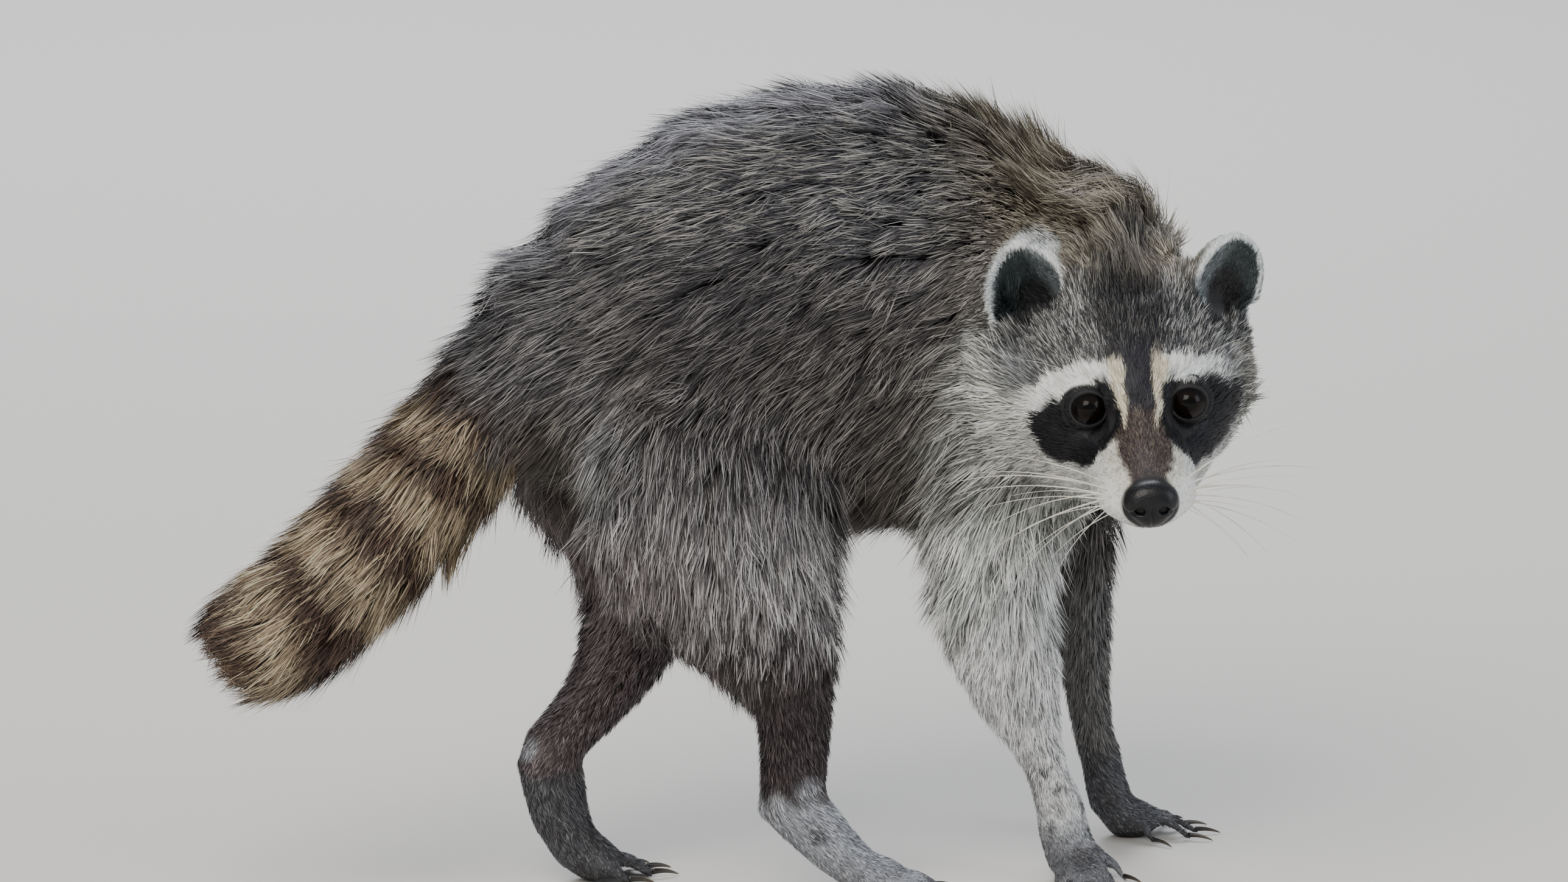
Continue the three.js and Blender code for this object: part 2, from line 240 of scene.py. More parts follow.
def region_of(points):
    """The name of the solid that each point belongs to."""
    return np.array([sample_node[nearest_solid.find(p)[1]] for p in points])


# The solids joined into one, each swollen a little so that the gaps between them close.
SWELL = 0.45 * MM
SKIN_VOXEL = 2.25 * MM
WELD = 1e-6
EAR_FOOT = -9.0  # where an ear's leaf is cut, in millimetres up from its centre


def ear_leaf(node):
    """An ear's solid without its foot, which the skin of the head makes in its place."""
    side = 1 if node == "ear_left" else -1
    leaf = bmesh.new()
    leaf.from_mesh(NODES[node].data)
    bmesh.ops.remove_doubles(leaf, verts=leaf.verts, dist=WELD)
    lean = math.sin(EAR_SPLAY)
    up = np.array([-lean * math.sin(EAR_TURN), side * lean * math.cos(EAR_TURN), math.cos(EAR_SPLAY)])
    foot = from_head(EAR_CENTRE[side] + up * EAR_FOOT)
    everything = leaf.verts[:] + leaf.edges[:] + leaf.faces[:]
    bmesh.ops.bisect_plane(leaf, geom=everything, plane_co=foot, plane_no=up @ head_axes, clear_inner=True)
    bmesh.ops.holes_fill(leaf, edges=[e for e in leaf.edges if e.is_boundary])
    bmesh.ops.triangulate(leaf, faces=leaf.faces[:])
    mesh = bpy.data.meshes.new("leaf")
    leaf.to_mesh(mesh)
    leaf.free()
    return mesh


bm = bmesh.new()
for node in FLESH + FILLING:
    bm.from_mesh(ear_leaf(node) if node.startswith("ear_") else NODES[node].data)
bmesh.ops.remove_doubles(bm, verts=bm.verts, dist=WELD)
bm.normal_update()
for v in bm.verts:
    v.co += v.normal * SWELL
joined = bpy.data.meshes.new("joined")
bm.to_mesh(joined)
bm.free()
body = put("body", joined)
remesh = body.modifiers.new("remesh", "REMESH")
remesh.mode = "VOXEL"
remesh.voxel_size = SKIN_VOXEL
depsgraph = bpy.context.evaluated_depsgraph_get()
hide = bpy.data.meshes.new_from_object(body.evaluated_get(depsgraph))
bpy.data.objects.remove(body)


class Surface:
    """A mesh's vertices with their neighbours, for smoothing numbers over it."""

    def __init__(self, mesh):
        self.mesh = mesh
        self.count = len(mesh.vertices)
        edges = read(mesh.edges, "vertices", 2, int)
        both = np.concatenate([edges, edges[:, ::-1]])
        both = both[np.argsort(both[:, 0], kind="stable")]
        self.neighbour = both[:, 1]
        self.first = np.searchsorted(both[:, 0], np.arange(self.count))
        self.valence = np.bincount(both[:, 0], minlength=self.count)

    @property
    def points(self):
        return read(self.mesh.vertices, "co", 3)

    @points.setter
    def points(self, value):
        self.mesh.vertices.foreach_set("co", value.ravel())
        self.mesh.update()

    @property
    def normals(self):
        return read(self.mesh.vertex_normals, "vector", 3)

    def smooth(self, values, rounds, strength=0.5):
        """Draws each value towards its neighbours' average, a number of rounds."""
        values = values.copy()
        strength, valence = np.broadcast_to(np.asarray(strength, float), (self.count,)), self.valence
        if values.ndim > 1:
            strength, valence = strength[:, None], valence[:, None]
        for _ in range(rounds):
            average = np.add.reduceat(values[self.neighbour], self.first, axis=0) / valence
            values += strength * (average - values)
        return values


surface = Surface(hide)
region_name = region_of(surface.points)
SOLIDS = {  # the solids of each part of the body, by how their names start
    "trunk": ["trunk"],
    "neck": ["neck"],
    "upper": [n for n in FLESH if n.endswith(("upper_arm", "thigh"))],
    "lower": [n for n in FLESH if n.endswith(("forearm", "shank"))],
    "foot": ["front_foot", "hind_foot"],
    "tail": ["tail"],
    "head": ["head"],
    "ear": ["ear"],
}


def share_of(starts):
    """1 on the named solids' part of the skin, 0 elsewhere."""
    return np.any([np.char.startswith(region_name, start) for start in starts], 0).astype(float)


# Creases where two solids meet are rounded off, the trunk's most and the fingers' hardly.
on = {name: share_of(starts) for name, starts in SOLIDS.items()}
FINENESS = (1.7 * MM / SKIN_VOXEL) ** 2  # rounds of smoothing are counted for a mesh of 1.7 mm
CREASE_ROUNDS = int(26 * FINENESS) + 2
SOFTEST = 0.62
softness = SOFTEST * (on["trunk"] + on["neck"] + on["tail"] + on["upper"])
softness = softness + 0.5 * on["lower"] + 0.22 * on["head"] + 0.05 * on["ear"]
softness = surface.smooth(softness + 0.08 * on["foot"], 6)
surface.points = surface.smooth(surface.points, CREASE_ROUNDS, softness)

# Depth of the coat over the skin, in millimetres.
head_points = in_head(surface.points)
hx, hy, hz = head_points.T
HEAD_STATIONS = [-70, -52, -38, -25, -12, 0, 14, 40]  # from the nape to the muzzle
face_depth = np.interp(hx, HEAD_STATIONS, [9.5, 9.5, 8, 5.5, 3.4, 2.0, 1.5, 1.1])
face_depth += 3.0 * ramp(np.abs(hy), 34, 50) * ramp(hz, 6, -12)  # the ruff
limb_depth = np.zeros(surface.count)
for (end, side), line in LIMBS.items():
    run, _, _ = along(surface.points, line)
    knee, ankle = leg_joints(line)
    depth = np.interp(run, [0, knee * 0.8, knee, (knee + ankle) / 2, ankle], [13, 12, 9, 4.5, 1.6])
    here = share_of([f"{end}_leg_{side}"]) > 0
    limb_depth[here] = depth[here]
coat_depth = 14.0 * on["trunk"] + 13.0 * on["neck"] + 12.5 * on["tail"] + face_depth * on["head"]
coat_depth = coat_depth + 1.3 * on["ear"] + limb_depth + 0.55 * on["foot"]


def by_ear_foot(p):
    """1 about the foot of an ear, where the coat is short, 0 away from it."""
    forward, across, up = by_ear(p)
    return ramp(np.hypot(across / EAR_HALF[0], up / EAR_HALF[1]), 1.9, 1.15) * ramp(np.abs(forward), 30, 16)


coat_depth = mix(coat_depth, np.minimum(coat_depth, 5.0), by_ear_foot(head_points))
not_leg = np.clip(on["head"] + on["neck"] + on["trunk"], 0, 1)
coat_depth = mix(coat_depth, 1.5, in_cup(head_points) * not_leg)
SPREAD_ROUNDS = int(40 * FINENESS) + 2
keep_depth = 0.5 * (1 - 0.85 * np.clip(on["foot"] + on["ear"], 0, 1))
coat_depth = surface.smooth(coat_depth, SPREAD_ROUNDS, keep_depth)


def hide_tree():
    """The hide as it is now, for finding its nearest places and what a ray hits."""
    return BVHTree.FromPolygons([v.co for v in hide.vertices], [tuple(p.vertices) for p in hide.polygons])


# The skin sinks under the coat in small even steps, so that it never folds through itself.
SINK_STEPS = 8
outline = hide_tree()
for step in range(SINK_STEPS):
    lean = unit(surface.smooth(surface.normals, 2))
    moved = surface.points - lean * (coat_depth * MM / SINK_STEPS)[:, None]
    surface.points = surface.smooth(moved, 2, 0.35 * softness / SOFTEST)
surface.points = surface.smooth(surface.points, 6, 0.5 * surface.smooth(on["ear"], 3))

# ---------------------------------------------------------------- folds of the face
# The eyelids, the lips' parting and the brow, pressed into the skin in the head's own frame.
# Each lid is a thin fold that hugs the eyeball, its rim a round opening slightly wider than high.


def refine(mesh, chosen):
    """Halves the edges of the faces that chosen picks by their centres."""
    work = bmesh.new()
    work.from_mesh(mesh)
    centres = np.array([f.calc_center_median() for f in work.faces])
    picked = chosen(centres)
    edges = {e for f, p in zip(work.faces, picked) if p for e in f.edges}
    bmesh.ops.subdivide_edges(work, edges=list(edges), cuts=1, use_grid_fill=True)
    bmesh.ops.triangulate(work, faces=[f for f in work.faces if len(f.verts) > 4])
    work.to_mesh(mesh)
    work.free()


def near_eyes(centres):
    p = in_head(centres)
    gap = np.minimum(*[np.linalg.norm(p - in_head(c[None]), axis=1) for c in eye_centre.values()])
    return gap < 16


def on_face(centres):
    p = in_head(centres)
    return (p[:, 0] > -14) & (np.abs(p[:, 1]) < 36) & (np.linalg.norm(p, axis=1) < 75)


refine(hide, on_face)
refine(hide, near_eyes)
surface = Surface(hide)

EYE_RADIUS = 8.0
EYE_GAZE = 1.0  # degrees each eye faces outwards
EYE_TILT = 13.0  # degrees each eye faces up
LID_OPEN = {"across": 57.0, "up": 47.0, "down": 52.0}  # degrees from the gaze to the rim
LID_THICKNESS = 0.6
LID_MARGIN = 2.8  # degrees over which the rim rolls from the eyeball up to the lid
LID_SPREAD = 48.0  # degrees beyond the rim where the lid has run out into the face
TUCK = 1.2  # how far the skin inside the opening stays behind the eyeball's surface


def eye_frame(side):
    """An eye's centre and axes in the head's frame: its gaze, the way to the temple, and up."""
    turn, tilt = math.radians(EYE_GAZE), math.radians(EYE_TILT)
    ahead, aside = math.cos(turn), side * math.sin(turn)
    gaze = np.array([ahead * math.cos(tilt), aside * math.cos(tilt), math.sin(tilt)])
    temple = np.array([-math.sin(turn), side * math.cos(turn), 0.0])
    upward = np.cross(gaze, temple) * side
    return in_head(eye_centre["left" if side > 0 else "right"][None])[0], gaze, temple, upward


def round_eye(points, side):
    """An eye's centre, and for each point its direction and distance from there, its degrees from
    the gaze, and its degrees past the rim of the lids."""
    centre, gaze, temple, upward = eye_frame(side)
    arm = points - centre
    reach = np.maximum(np.linalg.norm(arm, axis=1), 1e-6)
    way = arm / reach[:, None]
    angle = np.degrees(np.arccos(np.clip(way @ gaze, -1, 1)))
    across, up = way @ temple, way @ upward
    around = np.arctan2(up, across)
    height = np.where(up > 0, LID_OPEN["up"], LID_OPEN["down"])
    rim = 1 / np.sqrt((np.cos(around) / LID_OPEN["across"]) ** 2 + (np.sin(around) / height) ** 2)
    return centre, way, reach, angle, angle - rim


def press_lids(points):
    for side in (1, -1):
        centre, way, reach, angle, past = round_eye(points, side)
        lid = EYE_RADIUS + LID_THICKNESS + 0.02 * np.clip(past, 0, 40)
        hold = (1 - ramp(past, 4, LID_SPREAD)) * ramp(reach, 18, 12)
        lifted = np.maximum(mix(reach, lid, hold), lid * (angle < 120))
        outside = ramp(past, -LID_MARGIN, LID_MARGIN)
        close = np.maximum(outside, ramp(reach, 14.5, 11.5))
        lifted = mix(reach, mix(EYE_RADIUS - TUCK, lifted, outside), close)
        points = np.where((reach < 27)[:, None], centre + way * lifted[:, None], points)
    return points


def blob(*offsets):
    """1 where every offset is 0, falling away to nearly 0 where any of them passes 2."""
    return np.exp(-sum(offset**2 for offset in offsets))


face = in_head(surface.points)
on_front = (np.linalg.norm(face, axis=1) < 95) & (face[:, 0] > -30)
face[on_front] = press_lids(face[on_front])

# Lips: the parting runs back from under the nose, and the lower jaw sits inside the upper lip.
LIP_LINE = ((54, -30.0), (40, -32.5), (24, -34.0), (6, -38.0))  # x forward, z up
JAW_TUCK = 0.13  # how much narrower the lower jaw is, as a share of the face's width
x, y, z = face.T
line_z = np.interp(x, [p[0] for p in LIP_LINE][::-1], [p[1] for p in LIP_LINE][::-1])
in_mouth = ramp(x, 2, 12) * on_front
parting = blob((z - line_z) / 1.3) * in_mouth
below_line = ramp(z, line_z + 1.0, line_z - 2.5) * in_mouth
face[:, 1] *= 1 - JAW_TUCK * below_line - 0.09 * parting
face[:, 0] -= below_line * ramp(x, 34, 52) * 5.5 + parting * ramp(x, 44, 54) * 1.0

# The brow bone over each eye and the whisker pads' swell.
BROW_RISE, PAD_RISE = 1.6, 1.7  # millimetres
x, y, z = face.T
for side in (1, -1):
    face[:, 0] += BROW_RISE * (blob((y - side * 15) / 11, (z - 14) / 6) * (x > -25))
    pad = blob((x - 36) / 11, (y - side * 14) / 8, (z + 25) / 7)
    face[:, 1] += side * PAD_RISE * pad
surface.points = np.where(on_front[:, None], from_head(face), surface.points)

# ---------------------------------------------------------------- markings
# The pelage: a dark woolly undercoat under guard hairs banded dark and pale, so that every part
# has three tones, the hairs' shadowed roots, their body and their bright tips. On the face the
# short hairs make the black mask, white brows, cream bridge stripes and white muzzle.


def linear(hex_colour):
    """An sRGB hex colour as linear red, green, blue and alpha."""
    channels = [int(hex_colour[i : i + 2], 16) / 255 for i in (1, 3, 5)]
    return tuple(c / 12.92 if c <= 0.04045 else ((c + 0.055) / 1.055) ** 2.4 for c in channels) + (1.0,)


def tones(roots, body, tips):
    return np.array([linear(c)[:3] for c in (roots, body, tips)])


SPINE = tones("#232225", "#706f75", "#d2d2d7")
BACK = tones("#1b1a1c", "#505055", "#cbc8c0")
FLANK = tones("#141313", "#433f3e", "#a5a09b")
FLANK_DARK = tones("#0b0a0b", "#2d2c2f", "#827f81")
RUMP = tones("#1a191b", "#464548", "#a9a7a6")
NAPE = tones("#2a2520", "#888175", "#d3c9b2")
SHOULDER = tones("#272524", "#68645f", "#b9b5ab")
BELLY = tones("#161312", "#3e3934", "#807870")
THIGH = tones("#141314", "#403d3f", "#b5b3b4")
THIGH_LOW = tones("#191718", "#8c898a", "#fbfaf7")
# painted sunlight: the pale patch high on the rear of each thigh
THIGH_PAINTED_SUNLIGHT = tones("#454649", "#8b8f93", "#d8dcdd")
ARM = tones("#3a3c40", "#d4dad7", "#ffffff")
# painted shade: the pale arm's tones darkened for the left front leg's inner side
ARM_PAINTED_SHADE = tones("#191615", "#3a3633", "#7c7772")
FOREARM = tones("#64696d", "#f4f7f8", "#ffffff")
THROAT = tones("#232622", "#6f756f", "#f0f4ef")
RUFF = tones("#6a6a63", "#dadbd4", "#ffffff")
RUFF_SHADED = tones("#2c2b27", "#706e66", "#bbb7ab")
CHEEK = tones("#2e2f31", "#6f7174", "#c3c6c8")
FOREHEAD = tones("#17181a", "#414244", "#c0c0bc")
CROWN = tones("#0b0b0e", "#1b1b20", "#5c5a55")
BROW = tones("#d3dad8", "#fdfffd", "#ffffff")
CREAM = tones("#8f8471", "#dcd3bb", "#faf4e2")
MASK = tones("#060608", "#111115", "#24252d")
STRIPE = tones("#101014", "#22222a", "#3f3f47")
MUZZLE_TOP = tones("#201b1b", "#3f3534", "#7d7064")
MUZZLE_SIDE = tones("#a9aba3", "#f0f3ef", "#ffffff")
# the black at the back of the ears' base, also laid as painted shade in their cups
EAR_BLACK_AND_CUP_SHADE = tones("#060506", "#111012", "#333437")
EAR_INSIDE = tones("#131618", "#30373a", "#5c6769")
EAR_GREY = tones("#33383b", "#747c7f", "#b3bbbd")
EAR_RIM = tones("#b3bec1", "#eef5f6", "#ffffff")
TAIL_DARK = tones("#180f0c", "#3c2a22", "#6f594c")
TAIL_LIGHT = tones("#43372c", "#a6937a", "#f0e0ba")
STOCKING = tones("#140f0f", "#30282a", "#6a6062")
STOCKING_FAR = tones("#241d1e", "#574c4e", "#93898b")
FOOT = tones("#54555b", "#9ea2aa", "#eceff4")
FINGER = tones("#1c1b1d", "#434448", "#939498")
# painted shade: the feet's tones darkened for the left feet's inner sides
FOOT_PAINTED_SHADE = tones("#171618", "#2d2c30", "#66676b")


def wander(points, size, seed):
    """Smooth noise from -1 to 1 whose swells are about size metres across."""
    waves = np.random.default_rng(seed)
    total = np.zeros(len(points))
    for _ in range(7):
        way = unit(waves.normal(size=3)) * (2 * math.pi / size) * waves.uniform(0.55, 1.4)
        total += np.sin(points @ way + waves.uniform(0, 6.28))
    return np.clip(total / 3.2, -1, 1)


def lay(coat, colours, share):
    """Lays a pelage over the coat's tones by a share from 0 to 1 at each point."""
    share = np.clip(share, 0, 1)[..., None, None]
    return coat * (1 - share) + colours * share


# Rings of the tail: the middle and half width of each pale ring, in metres from the root.
TAIL_RINGS = ((0.067, 0.0050), (0.0965, 0.0080), (0.1325, 0.0090), (0.1728, 0.0092))
TAIL_TIP = 0.1834  # from here to its end the tail is dark

# Spots on the lower legs: x, y, z and radius in metres, and the tone.
LEG_SPOTS = (
    (0.0204, -0.0028, 0.0284, 0.0036, FINGER), (0.1174, 0.0073, 0.0449, 0.0030, FINGER),
    (0.1233, 0.0085, 0.0374, 0.0018, FINGER), (0.1582, 0.0760, 0.0471, 0.0032, FINGER),
    (-0.0766, 0.0644, 0.0557, 0.0042, FOOT),
)


def face_tones(p, world):
    """The head's three tones at each point. p is in millimetres of the head's frame."""
    x, y, z = p.T
    a = np.abs(y + 0.8 * wander(world, 0.012, 3))
    z = z + 0.8 * wander(world, 0.010, 4)
    coat = lay(FOREHEAD, CHEEK, ramp(a, 34, 44) * ramp(z, 24, 12))
    crown_half = np.interp(z, [8, 14, 24, 44], [4.5, 6.5, 12, 15])
    coat = lay(coat, CROWN, 0.92 * ramp(a, crown_half + 6, crown_half - 3) * ramp(z, 4, 8))

    # Where the bands run: the brow's middle, the mask's lower edge and its front, by places across.
    brow_run = [0, 8, 15, 21, 25, 32, 37, 44, 50]
    brow_z = np.interp(a, brow_run, [13.0, 13.5, 13.4, 13.0, 11.6, 7.9, 3.8, -1.5, -8])
    brow_half = np.interp(a, [6, 10, 15, 25, 32, 37, 44], [4.2, 3.8, 3.6, 3.6, 3.7, 4.6, 4.6])
    low_z = np.interp(a, [8, 16, 22, 33, 37, 40, 43], [-12, -17, -22, -22.5, -19.5, -15.5, -6])
    front_x = np.interp(z, [-22, -15, -11, -5, -1.5, 2, 6.5], [6.5, 13, 16, 15.5, 14, 10, 2])
    front_x = front_x + 4.5 * ramp(y, 0, 6) * ramp(z, -1, -6)  # the left mask reaches further

    ruff = ramp(z, low_z + 1, low_z - 3) * ramp(x, 14, 6) + ramp(a, 40, 45) * ramp(z, 6, -2)
    in_shade = ramp(y, 20, 40)  # painted shade: the left cheek is darker and greyer than the right
    coat = lay(coat, RUFF, (0.9 - 0.55 * in_shade) * np.clip(ruff, 0, 1))
    far_ruff = ramp(x, -34, -46) * ramp(z, 18, 4) + ramp(a, 50, 57) * ramp(z, 22, 8)
    coat = lay(coat, RUFF, 0.85 * np.clip(far_ruff, 0, 1) * ramp(a, 22, 40) * (1 - in_shade))
    coat = lay(coat, THROAT, 0.8 * ramp(x, -36, -52) * ramp(z, 24, 10))
    coat = lay(coat, RUFF_SHADED, 0.9 * ramp(y, 36, 46) * ramp(x, 4, -12))

    # The muzzle: brown along its top, narrowing to the nose, white at the sides.
    top_z = np.interp(x, [8, 15, 24, 38, 46, 58], [-6.0, -7.5, -10.0, -11.6, -12.0, -13.5])
    top_half = np.interp(x, [10, 15, 24, 38, 46], [12, 11, 10.6, 8.8, 6.8]) + 1.5 * ramp(y, 0, 4)
    on_muzzle = ramp(x, front_x - 1.5, front_x + 1.5)
    muzzle_side = on_muzzle * ramp(x, 5, 10) * ramp(a, 4, 7)
    coat = lay(coat, MUZZLE_SIDE, muzzle_side)
    coat = lay(coat, CREAM, 0.55 * muzzle_side * ramp(z, top_z - 7, top_z - 1))
    brown = ramp(z, top_z - 1.6, top_z + 1.6) * ramp(a, top_half + 1.4, top_half - 1.4)
    coat = lay(coat, MUZZLE_TOP, brown * ramp(x, -4, 2) * ramp(z, 8, 2))

    stripe_a = np.interp(z, [-1.5, 2, 7, 13, 19], [6.0, 6.7, 8.0, 8.7, 8.8])
    stripe_half = np.interp(z, [-2.5, -1, 2, 7, 13, 19], [0.1, 0.8, 1.7, 2.6, 3.2, 2.6])
    under_brow = ramp(z, brow_z - brow_half + 1.0, brow_z - brow_half - 1.2)
    mask = ramp(z, low_z - 1.2, low_z + 1.2) * under_brow * ramp(a, 45, 41)
    mask = mask * ramp(x, front_x + 1.5, front_x - 2) * ramp(x, -54, -46)
    mask = mask * ramp(a, stripe_a + stripe_half - 0.6, stripe_a + stripe_half + 0.6)
    coat = lay(coat, MASK, mask)
    brow_half = brow_half * (1 - 0.35 * ramp(y, 16, 24))  # the left brow runs out thinner and sooner
    brow = ramp(np.abs(z - brow_z), brow_half + 1.2, brow_half - 0.8) * ramp(a, 9, 11.5)
    brow = brow * np.where(y > 0, ramp(a, 44, 30), ramp(a, 54, 40)) * ramp(x, -60, -50)
    coat = lay(coat, BROW, brow)

    # The bridge: dark down the middle, a cream stripe each side that narrows to a point by the eye.
    middle = ramp(a, stripe_a - stripe_half + 1.0, stripe_a - stripe_half - 0.6)
    coat = lay(coat, STRIPE, middle * ramp(z, -6, 1) * ramp(z, 30, 17) * ramp(x, 15, 7))
    notch = blob((a - 13.0 - 0.10 * (z - 8)) / 0.9) * ramp(z, 5, 7) * ramp(z, 15, 11)
    coat = lay(coat, MASK, 0.9 * notch)
    cream = ramp(np.abs(a - stripe_a), stripe_half + 0.6, stripe_half - 0.6)
    coat = lay(coat, CREAM, cream * ramp(z, -3, -1) * ramp(z, 20, 16))

    # Under the chin, under the jaw's hinge, and below the cheek.
    coat = lay(coat, THROAT, 0.7 * ramp(z, -29, -33) * ramp(x, -10, 10))
    coat = lay(coat, THROAT, 0.75 * ramp(z, -34, -46) * ramp(x, -10, -24))
    coat = lay(coat, THROAT, 0.7 * ramp(a, 58, 68) * ramp(z, 0, -14))
    for side in (1, -1):
        _, _, reach, _, past = round_eye(p, side)
        coat = lay(coat, MASK, ramp(past, 22, 14) * ramp(reach, 15, 13))
    behind_ear = blob((x + 66) / 9, (a - 44) / 11, (z - 14) / 14)
    coat = lay(coat, CROWN, 0.8 * behind_ear * ramp(y, 4, -4))
    # the ears' cups: their dark skin deepened with painted shade
    return lay(coat, EAR_BLACK_AND_CUP_SHADE, in_cup(p))


def round_ear(p):
    """How far out on the nearer ear each point lies: 0 in its middle, 1 on the crest of the rim."""
    _, across, up = by_ear(p)
    return np.hypot(across / 14.5, up / 21.0) / np.where(p[:, 1] > 2, 0.93, 1.0)


def ear_tones(coat, p):
    """Painted shade deepening towards the canal, grey hair at the inner edge, a bright rim, and the ear's
    own black behind the base.
    """
    forward, across, up = by_ear(p)
    out = round_ear(p)
    inside = ramp(forward, -5.5 * np.sqrt(np.clip(1 - (0.8 * out) ** 2, 0, 1)) - 1, -2.5)
    ahead = np.interp(across, [-6, 6], [10, 18])
    leaf = ramp(out, 1.18, 1.06) * ramp(forward, ahead + 3, ahead) * ramp(forward, -12, -8)
    own = lay(EAR_GREY, EAR_BLACK_AND_CUP_SHADE, 0.9 * (1 - inside) * ramp(up, 4, -8) * ramp(out, 1.25, 0.9))
    own = lay(own, EAR_INSIDE, inside * ramp(out, 1.0, 0.88))
    own = lay(own, EAR_GREY, 0.85 * inside * ramp(across, 1, -8) * ramp(up, -14, -3))
    # painted shade, deepest at the canal
    own = lay(own, EAR_BLACK_AND_CUP_SHADE, 0.95 * inside * ramp(np.hypot(across - 1, (up + 4) / 1.3), 11, 5))
    rim_foot = np.interp(across, [-8, 8], [3, -7])
    own = lay(own, EAR_RIM, ramp(out, 0.92, 0.99) * ramp(up, rim_foot - 4, rim_foot + 3))
    own = lay(own, FOREHEAD, ramp(up, -9, -15))
    return lay(coat, own, leaf)


# How far to the left the middle of each left leg lies at a few heights, in metres.
HIND_LEFT_RUN = ((0.0, 0.05, 0.108, 0.205), (0.074, 0.071, 0.089, 0.102))
FRONT_LEFT_RUN = ((0.0, 0.032, 0.121, 0.200), (0.071, 0.079, 0.081, 0.081))
FRONT_LEGS_X = 0.065  # the front legs stand ahead of here, the hind legs behind
LEFT_LEGS_Y = 0.045  # and the left legs to the left of here
trunk_low, trunk_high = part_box("trunk")
TRUNK_AXIS_Z = 0.222  # height of the trunk's middle line
trunk_mid_y = (trunk_low.y + trunk_high.y) / 2


